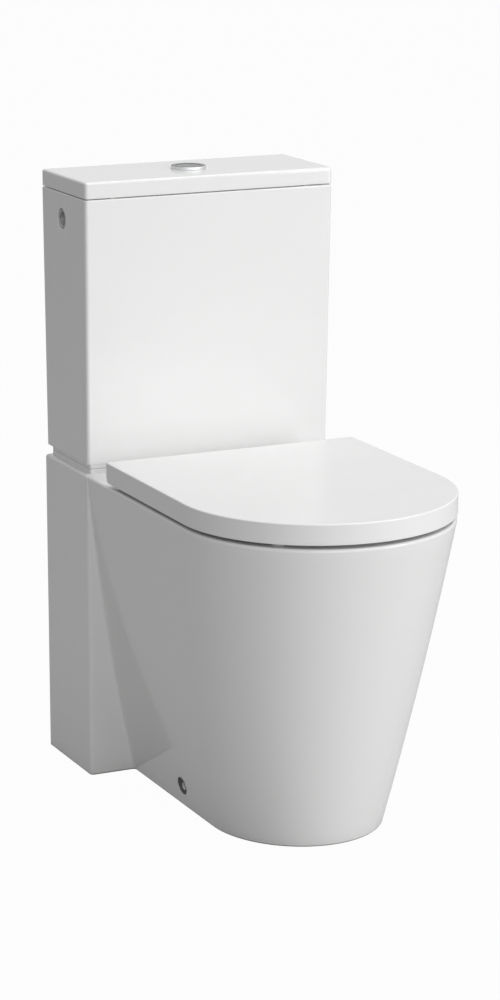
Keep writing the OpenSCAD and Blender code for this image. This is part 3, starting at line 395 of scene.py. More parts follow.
def box_ring(half, front_y, rear_y, corner, rear_corner, z):
    """Outline of a box that stands against the wall, with rounded upright corners."""
    side = [(half * k / 4, rear_y) for k in range(3)]
    side += [(half - rear_corner - support, rear_y)]
    side += arc(half - rear_corner, rear_y - rear_corner, rear_corner, rear_corner, 90, 0, 4)
    side += [(half, rear_y - rear_corner - support)]
    side += [(half, front_y + (rear_y - front_y) * k / 3) for k in (2, 1)]
    side += [(half, front_y + corner + support)]
    side += arc(half - corner, front_y + corner, corner, corner, 0, -90, 8)
    side += [(half - corner - support, front_y)]
    side += [(half * k / 4, front_y) for k in (2, 1, 0)]
    return mirrored_ring(side, z)


def neck_ring(inset, z):
    return box_ring(neck_half - inset, neck_front + inset, neck_rear - inset, 0.003, 0.002, z)


def neck_band_skin(name, joined, free):
    """Square band round the neck from its joined end to its free end, whose edges are rounded."""
    way = 1 if free > joined else -1
    rings = [neck_ring(0, joined), neck_ring(0, free - way * 0.0025)]
    rings += [neck_ring(i, free - way * d) for i, d in round_over(0.0006, 3)]
    rings += [neck_ring(neck_band - i, free - way * d) for i, d in reversed(round_over(0.0006, 3))]
    rings += [neck_ring(neck_band, joined)]
    return loft(name, rings, "NOTHING")


carve(pan, neck_band_skin("neck_rim", pan_top - 0.002, pan_top + 0.0062), "UNION")


def wall_ring(wall, side, y, z, radius, depth, count, lean=1):
    """Round ring at a depth in a wall that leans; with a lean of 0 the ring stands upright."""
    return [(side * (wall(z + lean * radius * sin(a)) - depth),
             y + radius * cos(a), z + radius * sin(a)) for a in turn_angles(count)]


# Holes low in both sides for the floor fixings, their glazed mouths rounded
fixing_y = 0.001
fixing_z = 0.032
fixing_r = 0.011
mouth = 0.0016
for side in (-1, 1):
    rings = [wall_ring(skirt_half, side, fixing_y, fixing_z, radius, depth, 40) for radius, depth in
             [(fixing_r, 0.030)] + [(fixing_r + i, d) for i, d in round_over(mouth, 3)]
             + [(fixing_r + mouth, -0.006)]]
    carve(pan, loft("fixing_hole", rings))

finish(pan, "base", china_glaze("glaze_pan", 5.0))
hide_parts("pan", "trapway", "pan_neck")

# ------ cistern
# The cistern is a second china casting, a tall tapering box with a short hollow foot that
# stands over the pan's neck. Each side has a recessed hole for a water inlet, thickened
# on the inside, and the floor is bored for the flush valve and two coupling bolts.
tank_bottom = 0.4428
tank_top = 0.8070
tank_wall = 0.009
tank_floor = 0.4548
inlet_y = 0.260
inlet_z = 0.7715
recess_r = 0.014


def tank_half(z):
    return 0.182 + 0.0025 * (z - tank_bottom) / (tank_top - tank_bottom)


def tank_front(z):
    return 0.1845 - 0.0095 * (z - tank_bottom) / (tank_top - tank_bottom)


def tank_ring(z, inset):
    corner = max(0.002, 0.005 - 0.2 * inset)
    return box_ring(tank_half(z) - inset, tank_front(z) + inset, wall_y - inset, corner, 0.0015, z)


rings = [tank_ring(tank_bottom, 0.0045)]
rings += [tank_ring(tank_bottom + d, i) for i, d in reversed(round_over(0.0012, 4))]
rings += [tank_ring(tank_bottom + 0.0045 + (tank_top - tank_bottom - 0.0075) * k / 6, 0)
          for k in range(7)]
rings += [tank_ring(tank_top - d, i) for i, d in round_over(0.0015, 4)]
rings += [tank_ring(tank_top - d, tank_wall - i) for i, d in reversed(round_over(0.0015, 4))]
rings += [tank_ring(tank_floor + 0.0095 + (tank_top - tank_floor - 0.0125) * k / 4, tank_wall)
          for k in (4, 3, 2, 1, 0)]
rings += [tank_ring(tank_floor + d, tank_wall + i) for i, d in round_over(0.008, 5)]
rings += [tank_ring(tank_floor, tank_wall + 0.010)]
cistern = loft("cistern_china", rings)
carve(cistern, neck_band_skin("cistern_foot", tank_bottom + 0.001, 0.4367), "UNION")
carve(cistern, rod("valve_hole", (0, valve_y, 0.430), (0, valve_y, 0.470), 0.031, 64))
for side in (-1, 1):
    outer = tank_half(inlet_z)
    boss = rod("boss", (side * (outer - 0.015), inlet_y, inlet_z),
               (side * (outer - 0.004), inlet_y, inlet_z), 0.023, 64)
    carve(cistern, soften(boss, 0.0015, 3), "UNION")
    rings = [wall_ring(tank_half, side, inlet_y, inlet_z, radius, depth, 64) for radius, depth in
             [(0.0128, 0.030), (0.0128, 0.0064), (0.0132, 0.006), (recess_r, 0.006)]
             + [(recess_r + i, d) for i, d in round_over(0.0006, 3)]
             + [(recess_r + 0.0006, -0.006)]]
    carve(cistern, loft("side_recess", rings))
    carve(cistern, rod("coupling_hole", (side * bolt_x, valve_y, 0.430),
                       (side * bolt_x, valve_y, 0.470), 0.0055))
finish(cistern, "base", china_glaze("glaze_cistern", 4.0))
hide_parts("cistern")

# ------ cistern lid
# The lid is a loose china slab with a hollow underside. A lip inside its edge drops into
# the cistern, four small pads carry it, and one hole in the middle takes the button.
lid_low = 0.8082
lid_top = 0.8310
lid_half = 0.1845
lid_front = 0.1750


def lid_ring(z, inset):
    corner = max(0.002, 0.005 - 0.25 * inset)
    return box_ring(lid_half - inset, lid_front + inset, wall_y - inset, corner, 0.0025, z)


lip_out = 0.011
lip_in = 0.017
under = 0.8210
rings = [lid_ring(under, lip_in + 0.006)]
rings += [lid_ring(under - d, lip_in + i) for i, d in reversed(round_over(0.004, 4))]
rings += [lid_ring(lid_low - 0.010 + d, lip_in - i) for i, d in round_over(0.0015, 3)]
rings += [lid_ring(lid_low - 0.010 + d, lip_out + i) for i, d in reversed(round_over(0.0015, 3))]
rings += [lid_ring(lid_low, lip_out), lid_ring(lid_low, 0.003)]
rings += [lid_ring(lid_low + d, i) for i, d in reversed(round_over(0.0012, 3))]
rings += [lid_ring(lid_low + 0.003, 0), lid_ring(lid_top - 0.005, 0)]
rings += [lid_ring(lid_top - d, i) for i, d in round_over(0.0030, 6)]
rings += [lid_ring(lid_top, 0.0048)]
lid = loft("cistern_lid_china", rings)
carve(lid, rod("button_hole", (0, valve_y, 0.800), (0, valve_y, 0.840), 0.022, 64))
finish(lid, "cistern_lid", china_glaze("glaze_lid", 4.6))
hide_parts("cistern_lid")

# ------ seat ring
# The seat ring is compression moulded in white duroplast, a hard urea resin with a soft
# gloss. It has a full inner edge and two lugs at the back that turn on the hinge pins.
hinge_y = 0.0963
hinge_z = 0.4475
seat_nose = -0.1445
bore_r = 0.0065


def surface(name, fixed, cloud, shades, gloss, grain, relief):
    """A material whose colour and gloss drift with a soft noise, under a finer relief."""
    paint = bpy.data.materials.new(name)
    paint.use_nodes = True
    tree = paint.node_tree
    place = add_node(tree, "TexCoord", "Object", {})
    drift = add_node(tree, "TexNoise", "Fac", {"Vector": place, **cloud})
    tone = add_node(tree, "Mix", "Result", {"Factor": drift, "A": shades[0], "B": shades[1]},
                    data_type="RGBA")
    sheen = add_node(tree, "MapRange", "Result",
                     {"Value": drift, "To Min": gloss[0], "To Max": gloss[1]})
    kind, output, feeds = grain
    skin = add_node(tree, kind, output, {"Vector": place, **feeds})
    strength, distance = relief
    bump = add_node(tree, "Bump", "Normal",
                    {"Height": skin, "Strength": strength, "Distance": distance})
    feed(tree, tree.nodes["Principled BSDF"],
         {"Base Color": tone, "Roughness": sheen, "Normal": bump, **fixed})
    return paint


def duroplast(name, grain):
    """White moulded resin: a touch warmer and softer than the glaze, with a very fine skin."""
    return surface(name, {"IOR": 1.48}, {"Scale": grain, "Detail": 4},
                   ((0.815, 0.815, 0.812, 1), (0.838, 0.838, 0.837, 1)), (0.22, 0.26),
                   ("TexNoise", "Fac", {"Scale": 220, "Detail": 2}), (0.03, 0.0002))


def seat_side(half, rear, corner):
    """Right half of the seat's outline: square back, straight side, round nose."""
    side = [((half - corner) * k / 12, rear) for k in range(12)]
    side += arc(half - corner, rear - corner, corner, corner, 90, 0, 4)
    side += [(half, rear - corner + (seat_nose - rear + corner) * k / 16) for k in range(1, 16)]
    side += arc(0, seat_nose, half, half, 0, -90, 44)
    side[-1] = (0.0, seat_nose - half)
    return side


def seat_outline(half, rear, corner, z):
    return mirrored_ring(seat_side(half, rear, corner), z)


ring_half = 0.178
ring_rear = 0.0843
ring_low = 0.4410
ring_high = 0.4560
opening_r = 0.10502
opening_front = -0.1570
opening_rear = -0.0967


def rim_outline(inset, z):
    return seat_outline(ring_half - inset, ring_rear - inset, 0.004, z)


def opening_outline(grow, z):
    """The seat's opening, with its points in line with those of the outline round it."""
    middle = (opening_front + opening_rear) / 2
    run = (opening_rear - opening_front) / 2
    r = opening_r + grow
    ring = []
    for x, y, _ in rim_outline(0, 0):
        far = hypot(x, y - middle)
        dx, dy = x / far, (y - middle) / far
        if abs(dx) > 1e-6 and abs(dy) * r / abs(dx) <= run:
            reach = r / abs(dx)
        else:
            reach = run * abs(dy) + sqrt(r * r - run * run * dx * dx)
        ring.append((dx * reach, middle + dy * reach, z))
    return ring


rings = [rim_outline(i, ring_low + d) for i, d in reversed(round_over(0.0015, 3))]
rings += [rim_outline(0, ring_high - 0.0055)]
rings += [rim_outline(i, ring_high - d) for i, d in round_over(0.0040, 6)]
rings += [rim_outline(0.0055, ring_high)]
rings += [opening_outline(0.0105, ring_high)]
rings += [opening_outline(i, ring_high - d) for i, d in reversed(round_over(0.0090, 8))]
rings += [opening_outline(0, ring_low + 0.0035)]
rings += [opening_outline(i, ring_low + d) for i, d in round_over(0.0025, 3)]
seat_ring = loft("seat_ring_resin", rings, "NOTHING")


def lug(side, near, far, profile):
    """A hinge lug of one (y, z) cross section between two distances from the middle."""
    ends = [[(side * x, y, z) for y, z in profile] for x in (near, far)]
    return soften(loft("lug", ends), 0.001, 3, 50)


def hinge_bore(side, near, far, radius):
    """A bar along the hinge line between two distances from the middle."""
    return rod("bore", (side * near, hinge_y, hinge_z), (side * far, hinge_y, hinge_z), radius, 40)


for side in (-1, 1):
    carve(seat_ring, lug(side, 0.034, 0.064, arc(hinge_y, hinge_z, 0.009, 0.009, -123, 133, 30)
                         + [(hinge_y - 0.018, 0.4540), (hinge_y - 0.018, 0.4400)]), "UNION")
    carve(seat_ring, hinge_bore(side, 0.033, 0.065, bore_r))
finish(seat_ring, "seat_ring", duroplast("resin_ring", 14))
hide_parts("seat_ring")

# ------ seat cover
# The cover is moulded in the same resin as a shallow cap that closes over the ring. Its
# back wall is notched round the hinge posts, and rounded below so that it clears the pan.
cover_half = 0.1855
cover_rear = 0.1113
cover_low = 0.4354
cover_high = 0.4630
cover_under = 0.4580
cover_wall = 0.005


def cover_ring(z, inset):
    """Outline of the cover. Low down, its back clears the pan outside and the open ring inside."""
    back_line = cover_rear
    if z < hinge_z:
        back_line = hinge_y + sqrt(0.016 ** 2 - (hinge_z - z) ** 2)
    rear = min(cover_rear - inset, back_line - 0.3 * inset)
    return seat_outline(cover_half - inset, rear, 0.0025, z)


rings = [cover_ring(cover_under, cover_wall + 0.0055)]
rings += [cover_ring(cover_under - d, cover_wall + i) for i, d in reversed(round_over(0.004, 4))]
rings += [cover_ring(z, cover_wall) for z in (0.4490, 0.4450, 0.4419, 0.4395)]
rings += [cover_ring(cover_low + d, cover_wall - i) for i, d in round_over(0.0008, 3)]
rings += [cover_ring(cover_low + d, i) for i, d in reversed(round_over(0.0010, 3))]
rings += [cover_ring(z, 0) for z in (0.4375, 0.4390, 0.4405, 0.4419, 0.4445, 0.4475, 0.4600)]
rings += [cover_ring(cover_high - d, i) for i, d in round_over(0.0016, 5)]
rings += [cover_ring(cover_high, 0.0032)]
cover = loft("seat_cover_resin", rings)
for side in (-1, 1):
    lug_profile = arc(hinge_y, hinge_z, 0.009, 0.009, 180, 360, 24)
    lug_profile += [(hinge_y + way * 0.009, cover_under + 0.002) for way in (1, -1)]
    carve(cover, lug(side, 0.091, 0.121, lug_profile), "UNION")
    carve(cover, hinge_bore(side, 0.090, 0.122, bore_r))
    notch = block("notch", (side * post_x - 0.014, cover_rear - cover_wall - 0.0035, 0.4200),
                  (side * post_x + 0.014, cover_rear + 0.004, cover_under))
    carve(cover, soften(notch, 0.0012, 3))
finish(cover, "seat_cover", duroplast("resin_cover", 9))
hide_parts("seat_cover")

# ------ buffers and pads
# Soft rubber feet are pressed into the underside of the ring, the cover and the lid.
# They keep the seat off the china and stop the loose lid from rattling.


def eased_fitting(node, suffix, width, body, paint, steps=2):
    """Stands a welded copy of a fitting's solid, with its sharp edges eased, in its place."""
    piece = bpy.data.objects.new(node + suffix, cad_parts[node].data.copy())
    piece.data.name = node + suffix
    bpy.context.scene.collection.objects.link(piece)
    pick(piece)
    edit_all((bpy.ops.mesh.remove_doubles, {"threshold": 0.00001}),
             (bpy.ops.mesh.dissolve_limited, {"angle_limit": radians(1)}))
    soften(piece, width, steps, 32)
    finish(piece, body, paint)
    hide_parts(node)


def shades_of(colour, low, high):
    """A darker and a lighter shade of a colour."""
    return [[min(1, share * c) for c in colour] + [1] for share in (low, high)]


def rubber(name, colour, dullness):
    """Moulded rubber: matt, slightly uneven in tone, with a fine dusty grain."""
    return surface(name, {"Specular IOR Level": 0.35}, {"Scale": 140, "Detail": 5},
                   shades_of(colour, 0.85, 1.15), (dullness - 0.08, dullness + 0.08),
                   ("TexNoise", "Fac", {"Scale": 1600}), (0.15, 0.0003))


pad_rubber = rubber("pale_rubber", (0.62, 0.62, 0.61), 0.55)
for node, body in (("ring_buffers", "seat_ring"), ("cover_buffers", "seat_cover"),
                   ("lid_pads", "cistern_lid")):
    eased_fitting(node, "_rubber", 0.0005, body, pad_rubber, 3)

# ------ hinge posts, pins and dampers
# Two chromed posts are bolted through the china behind the bowl. A steel pin runs through
# each and carries the ring's lug on its inner side and the cover's on its outer side,
# both on grey oil-filled cartridges that let the seat down slowly.
pin_r = 0.004


def plated(name, colour, low, high):
    """Bright metal whose polish varies a little, with faint drawn lines and a worn film."""
    return surface(name, {"Metallic": 1.0}, {"Scale": 45, "Detail": 6},
                   shades_of(colour, 0.94, 1.04), (low, high),
                   ("TexNoise", "Fac", {"Scale": 900, "Detail": 1}), (0.04, 0.0001))


def turned(name, start, axis, profile, ends="NGON", sides=64):
    """A turned piece: (radius, distance along the axis) pairs swept round it."""
    along = Vector(axis).normalized()
    across = Vector((0, 1, 0))
    up = along.cross(across)
    return loft(name, [[Vector(start) + along * t + (across * cos(a) + up * sin(a)) * radius
                              for a in turn_angles(sides)] for radius, t in profile], ends)


def thread(radius, low, high, pitch, depth):
    """Profile of a cut thread between two places along a shank."""
    turns = int(round((high - low) / pitch))
    return [(radius - depth * (k % 2), low + (high - low) * k / (2 * turns))
            for k in range(2 * turns + 1)]


def hex_nut(name, start, axis, across_corners, bore, height, chamfer=0.0007):
    """A hexagonal nut with its corners chamfered at both ends, open for the shank."""
    flat = across_corners * cos(pi / 6)
    along = Vector(axis).normalized()
    across = Vector((0, 1, 0))
    up = along.cross(across)
    rings = []
    for limit, t in ((bore, 0), (flat, 0), (across_corners, chamfer),
                     (across_corners, height - chamfer), (flat, height), (bore, height)):
        ring = []
        for a in turn_angles(72):
            turn = (a + pi / 6) % (pi / 3) - pi / 6
            radius = min(limit, flat / cos(turn))
            ring.append(Vector(start) + along * t + (across * sin(a) + up * cos(a)) * radius)
        rings.append(ring)
    return loft(name, rings, "NOTHING")


def pair(piece):
    """Adds the same piece on the left of the middle."""
    apply_step(piece, "MIRROR", use_mirror_merge=False)
    edit_all((bpy.ops.mesh.normals_make_consistent, {"inside": False}))


chrome = plated("chrome", (0.78, 0.79, 0.80), 0.05, 0.12)
steel = plated("stainless_steel", (0.62, 0.62, 0.64), 0.22, 0.36)

post_profile = arc(hinge_y, hinge_z, 0.0085, 0.0085, -28, 208, 32) \
    + [(hinge_y - 0.0073, 0.4312), (hinge_y + 0.0073, 0.4312)]
post_sides = [[(x, y, z) for y, z in post_profile] for x in (post_x - 0.013, post_x + 0.013)]
posts = soften(loft("hinge_posts_chrome", post_sides), 0.0008, 3, 50)
plate = arc(post_x, bolt_y, 0.013, 0.013, 180, 360, 28)
plate += [(post_x + 0.013, 0.1037), (post_x - 0.013, 0.1037)]
plate_faces = [[(x, y, z) for x, y in plate] for z in (0.4301, 0.4330)]
carve(posts, soften(loft("plate", plate_faces), 0.0007, 3, 50), "UNION")
carve(posts, hinge_bore(1, post_x - 0.02, post_x + 0.02, pin_r + 0.00005))
carve(posts, rod("bolt_hole", (post_x, bolt_y, 0.425), (post_x, bolt_y, 0.440), 0.0042, 40))
pair(posts)
finish(posts, "base", chrome)
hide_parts("hinge_posts")

pins = turned("hinge_pins_steel", (0.044, hinge_y, hinge_z), (1, 0, 0),
              [(0.0034, 0), (pin_r, 0.0006), (pin_r, 0.0664), (0.0034, 0.067)], sides=40)
pair(pins)
finish(pins, "base", steel)
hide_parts("hinge_pins")

# Bolt with a socket head and a thread below the china, its rubber bush and its nut
head_z = 0.433
bolts = turned("seat_bolts_steel", (post_x, bolt_y, 0.390), (0, 0, 1),
               [(0.0030, 0)] + thread(0.0040, 0.0006, 0.0216, 0.00125, 0.0005)
               + [(0.0040, 0.0226), (0.0040, 0.0430), (0.0063, 0.0430), (0.0065, 0.0434),
                  (0.0065, 0.0458)]
               + [(0.0065 - i, 0.0470 - d) for i, d in round_over(0.0012, 4)], sides=48)
carve(bolts, rod("socket", (post_x, bolt_y, head_z + 0.0018),
                 (post_x, bolt_y, head_z + 0.006), 0.0028, 6))
pair(bolts)
finish(bolts, "base", steel)
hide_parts("seat_bolts")

black_rubber = rubber("black_rubber", (0.045, 0.045, 0.047), 0.6)
bushes = turned("seat_bushes_rubber", (post_x, bolt_y, 0.398), (0, 0, 1),
                [(0.0042, 0), (0.0095, 0), (0.0100, 0.0005), (0.0100, 0.0135), (0.0092, 0.0156),
                 (0.0073, 0.0158), (0.0073, 0.0319), (0.0042, 0.0319)], "NOTHING", 48)
pair(bushes)
finish(bushes, "base", black_rubber)
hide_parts("seat_bushes")

nuts = hex_nut("seat_nuts_steel", (post_x, bolt_y, 0.392), (0, 0, 1), 0.0075, 0.0041, 0.006)
pair(nuts)
finish(nuts, "base", steel)
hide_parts("seat_nuts")


def moulded(name, colour, low, high):
    """Injection-moulded plastic: even colour with faint flow marks and a fine satin grain."""
    return surface(name, {"IOR": 1.5}, {"Scale": 35, "Detail": 3, "Distortion": 0.8},
                   shades_of(colour, 0.93, 1.05), (low, high),
                   ("TexVoronoi", "Distance", {"Scale": 1300}), (0.08, 0.0002))


damper_grey = moulded("damper_grey", (0.22, 0.22, 0.23), 0.35, 0.5)
damper_r = 0.00645
for name, start, way, node, body in (
        ("ring_dampers_plastic", 0.064, -1, "ring_dampers", "seat_ring"),
        ("cover_dampers_plastic", 0.091, 1, "cover_dampers", "seat_cover")):
    cartridges = turned(name, (start, hinge_y, hinge_z), (way, 0, 0),
                        [(pin_r + 0.0001, 0), (0.0058, 0), (damper_r, 0.0005), (damper_r, 0.0030),
                         (0.0060, 0.0034), (0.0060, 0.0040), (damper_r, 0.0044), (damper_r, 0.0234),
                         (0.0058, 0.0240), (0.0030, 0.0240), (0.0030, 0.0212),
                         (pin_r + 0.0001, 0.0210)], "NOTHING", 40)
    pair(cartridges)
    finish(cartridges, body, damper_grey)
    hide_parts(node)

# ------ push button
# A chromed bezel is clamped to the lid from below by a plastic nut on a foam-backed gasket.
# Its well holds two chromed buttons, the larger for a full flush and the smaller for a
# half flush. Each sits on a steel spring and pushes a white rod down to the valve.
bezel_top = 0.8353
well_r = 0.0175
button_r = 0.0172
button_top = 0.8349
button_low = 0.8279
shelf_low = 0.8052
shelf_top = 0.8082
# Name, body that moves, side of the parting line and place of the rod, for each flush
flushes = (("full_flush", "full_button", 1, 0.0070, 0.0080),
           ("half_flush", "half_button", -1, -0.0070, -0.0090))
lid_rise = lid_top - shelf_low
top_rise = bezel_top - shelf_low
shelf_rise = shelf_top - shelf_low
bezel = turned("button_bezel_chrome", (0, valve_y, shelf_low), (0, 0, 1),
               [(0.0203, 0)] + thread(0.0210, 0.0006, 0.0150, 0.0018, 0.0006)
               + [(0.0210, 0.0160), (0.0210, lid_rise), (0.0239, lid_rise),
                  (0.0243, lid_rise + 0.0004)]
               + [(0.0241 - i, top_rise - d) for i, d in round_over(0.0010, 5)]
               + [(well_r + 0.0010 - i, top_rise - d)
                  for i, d in ((0.0010 - d, 0.0010 - i) for i, d in round_over(0.0010, 4)[::-1])]
               + [(well_r, shelf_rise + 0.0006), (well_r - 0.0006, shelf_rise)], sides=96)
for _, _, _, x, y in flushes:
    carve(bezel, rod("rod_hole", (x, valve_y + y, 0.800), (x, valve_y + y, 0.812), 0.0033, 32))
carve(bezel, rod("drain", (0, valve_y, 0.800), (0, valve_y, 0.812), 0.005, 40))
# The buttons are chrome painted very dark: a painted dark reflection on their tops.
button_painted_reflection_chrome = plated("button_painted_reflection_chrome", (0.20, 0.205, 0.21), 0.20, 0.27)
bezel_chrome = plated("bezel_chrome", (0.66, 0.67, 0.68), 0.50, 0.58)
finish(bezel, "cistern_lid", bezel_chrome)
# The bezel's flat top ring, picked by its upward faces, gets a dark copy of the chrome: painted
# dark reflection, while the side keeps the brighter chrome.
bezel.data.materials.append(plated("bezel_top_painted_reflection", (0.10, 0.103, 0.106), 0.20, 0.27))
for face in bezel.data.polygons:
    if face.center.z > bezel_top - 0.0003 and face.normal.z > 0.8:
        face.material_index = 1
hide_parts("button_bezel")


def button_ring(side, z, inset):
    """Outline of one button: most or the rest of a circle, cut along a straight line."""
    radius = button_r - inset
    chord = -0.0030 + inset if side > 0 else -0.0036 - inset
    meet = degrees(asin(chord / radius))
    start, end = (meet, 180 - meet) if side > 0 else (180 - meet, 360 + meet)
    return [(x, valve_y + y, z) for x, y in arc(0, 0, radius, radius, start, end, 60)]


for stem, body, side, _, _ in flushes:
    rings = [button_ring(side, button_low, 0.0004), button_ring(side, button_low + 0.0004, 0)]
    rings += [button_ring(side, button_top - d, i) for i, d in round_over(0.0007, 4)]
    rings += [button_ring(side, button_top - 0.00012, 0.0022),
              button_ring(side, button_top - 0.00035, 0.0050)]
    plunger = loft(stem + "_button_painted_reflection_chrome", rings)
    finish(plunger, body, button_painted_reflection_chrome)
    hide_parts(stem + "_button")

white_plastic = moulded("white_plastic", (0.80, 0.81, 0.80), 0.28, 0.42)
grey_plastic = moulded("grey_plastic", (0.40, 0.41, 0.43), 0.32, 0.46)
rod_r = 0.003
rod_low = 0.7117
for stem, body, _, x, y in flushes:
    push_rod = turned(stem + "_rod_plastic", (x, valve_y + y, rod_low), (0, 0, 1),
                      [(0.0003, 0), (0.0012, 0.0003), (0.0022, 0.0010), (0.0028, 0.0020),
                       (rod_r, 0.0030), (rod_r, 0.0900), (0.0025, 0.0906), (0.0025, 0.0926),
                       (rod_r, 0.0932), (rod_r, button_low - rod_low)], sides=32)
    finish(push_rod, body, white_plastic)
    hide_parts(stem + "_rod")


def coil_spring(name, x, y, low, high):
    """A compression spring with closed ends: round wire swept up its helix."""
    wire = 0.0005
    turns = 6
    pitch = (high - low - 6.4 * wire) / (turns - 2)
    rings = []
    for k in range(28 * turns + 1):
        t = k / 28
        closed = min(t, 1) + max(0, t - turns + 1)
        z = low + wire + 2.2 * wire * closed + pitch * max(0, min(t, turns - 1) - 1)
        away = Vector((cos(2 * pi * t), sin(2 * pi * t), 0))
        rings.append([Vector((x, y, z)) + away * (0.0047 + wire * cos(b))
                      + Vector((0, 0, wire * sin(b))) for b in turn_angles(10)])
    return loft(name, rings)


spring_low = 0.8083
spring_high = 0.8278
for stem, _, _, x, y in flushes:
    coil = coil_spring(stem + "_spring_steel", x, valve_y + y, spring_low, spring_high)
    finish(coil, "cistern_lid", steel, 60)
    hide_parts(stem + "_spring")
    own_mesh(coil)

gasket = turned("bezel_gasket_rubber", (0, valve_y, 0.8195), (0, 0, 1),
                [(0.0213, 0), (0.0266, 0), (0.0270, 0.0004), (0.0270, 0.0011), (0.0266, 0.0015),
                 (0.0213, 0.0015)], "NOTHING", 72)
finish(gasket, "cistern_lid", black_rubber)
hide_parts("bezel_gasket")
clamp = hex_nut("bezel_nut_plastic", (0, valve_y, 0.8125), (0, 0, 1), 0.030, 0.02102, 0.007, 0.0010)
finish(clamp, "cistern_lid", grey_plastic)
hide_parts("bezel_nut")

# ------ water inlet and blanking plug
# The supply enters on the left through a threaded bush in a recess of the china. The same
# hole on the right is closed by a plug. Each is drawn up by a nut on a washer inside.
face = tank_half(inlet_z) - 0.0008
shank_r = 0.0124
shank_length = 0.0302
flange = [(0.0126, 0), (0.0131, 0.0006), (0.0131, 0.0052), (shank_r, 0.0052)]
screwed = thread(shank_r, 0.0074, 0.0290, 0.0018, 0.0007) + [(0.0117, shank_length)]
bush = turned("inlet_bush_chrome", (-face, inlet_y, inlet_z), (1, 0, 0),
              [(0.0104, 0)] + flange + screwed + [(0.0050, shank_length), (0.0050, 0.0192)]
              + thread(0.0093, 0.0012, 0.0192, 0.0018, -0.0005)[::-1] + [(0.0098, 0.0006)],
              "NOTHING", 72)
# The bush and the plug are satin chrome painted dark: painted shade of the recess they sit in.
recess_shade_chrome = plated("satin_recess_shade", (0.31, 0.31, 0.32), 0.24, 0.36)
finish(bush, "base", recess_shade_chrome)
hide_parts("inlet_bush")
plug = turned("blanking_plug_chrome", (face, inlet_y, inlet_z), (-1, 0, 0),
              [(0.0060, 0.0002)] + flange + screwed, sides=72)
carve(plug, rod("key_socket", (face - 0.002, inlet_y, inlet_z), (face + 0.004, inlet_y, inlet_z),
                0.005, 6))
finish(plug, "base", recess_shade_chrome)
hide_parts("blanking_plug")
seat_x = 0.16926
for side, stem in ((-1, "inlet"), (1, "plug")):
    washer = turned(stem + "_washer_rubber", (side * seat_x, inlet_y, inlet_z), (-side, 0, 0),
                    [(0.0126, 0), (0.0176, 0), (0.0180, 0.0004), (0.0180, 0.0016),
                     (0.0176, 0.0020), (0.0126, 0.0020)], "NOTHING", 64)
    finish(washer, "base", black_rubber)
    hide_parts(stem + "_washer")
    nut = hex_nut(stem + "_nut_plastic", (side * (seat_x - 0.002), inlet_y, inlet_z),
                  (-side, 0, 0), 0.018, shank_r + 0.00002, 0.007, 0.0009)
    finish(nut, "base", grey_plastic)
    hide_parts(stem + "_nut")

# ------ floor fixings
# A bush lines each hole low in the pan's sides, its dark colour painted shade of the
# hole, and a screw at its bottom clamps the china to a plastic bracket, which is itself
# screwed to the floor.
bush_profile = (
    (0.0120, -0.0006, 1), (0.0124, -0.0003, 1), (0.0120, 0.0001, 1), (0.0113, 0.0006, 1),
    (0.0108, 0.0014, 1), (0.0108, 0.0176, 0), (0.0104, 0.0180, 0), (0.0042, 0.0180, 0),
    (0.0042, 0.0093, 0), (0.0077, 0.0090, 0), (0.0080, 0.0086, 0), (0.0080, 0.0056, 0.2),
    (0.0088, 0.0036, 0.6), (0.0100, 0.0008, 1), (0.0109, -0.0004, 1))
side_bush = loft("side_bushes_rubber", [
    wall_ring(skirt_half, 1, fixing_y, fixing_z, radius, depth, 64, lean)
    for radius, depth, lean in bush_profile], "NOTHING")
pair(side_bush)
# The bush's dark grey is painted shade at the mouth of the hole.
bush_shade_paint = rubber("dark_hole_lining_painted_shade", (0.12, 0.12, 0.122), 0.6)
finish(side_bush, "base", bush_shade_paint)
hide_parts("side_bushes")
screw_head = skirt_half(fixing_z) - 0.0022
screws = turned("side_screws_chrome", (screw_head, fixing_y, fixing_z), (-1, 0, 0),
                [(0.0040, 0.0), (0.0052, 0.0002), (0.0062, 0.0010), (0.0065, 0.0020),
                 (0.0065, 0.0065), (0.0062, 0.0068), (0.0040, 0.0068)]
                + thread(0.0040, 0.0080, 0.0400, 0.0016, 0.0006)
                + [(0.0030, screw_head - 0.079)], sides=48)
carve(screws, rod("key_socket", (screw_head - 0.001, fixing_y, fixing_z),
                  (screw_head + 0.003, fixing_y, fixing_z), 0.003, 6))
pair(screws)
finish(screws, "base", plated("screw_chrome", (0.62, 0.62, 0.63), 0.34, 0.44))
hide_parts("side_screws")
eased_fitting("floor_brackets", "_plastic", 0.0008, "base", grey_plastic, 3)

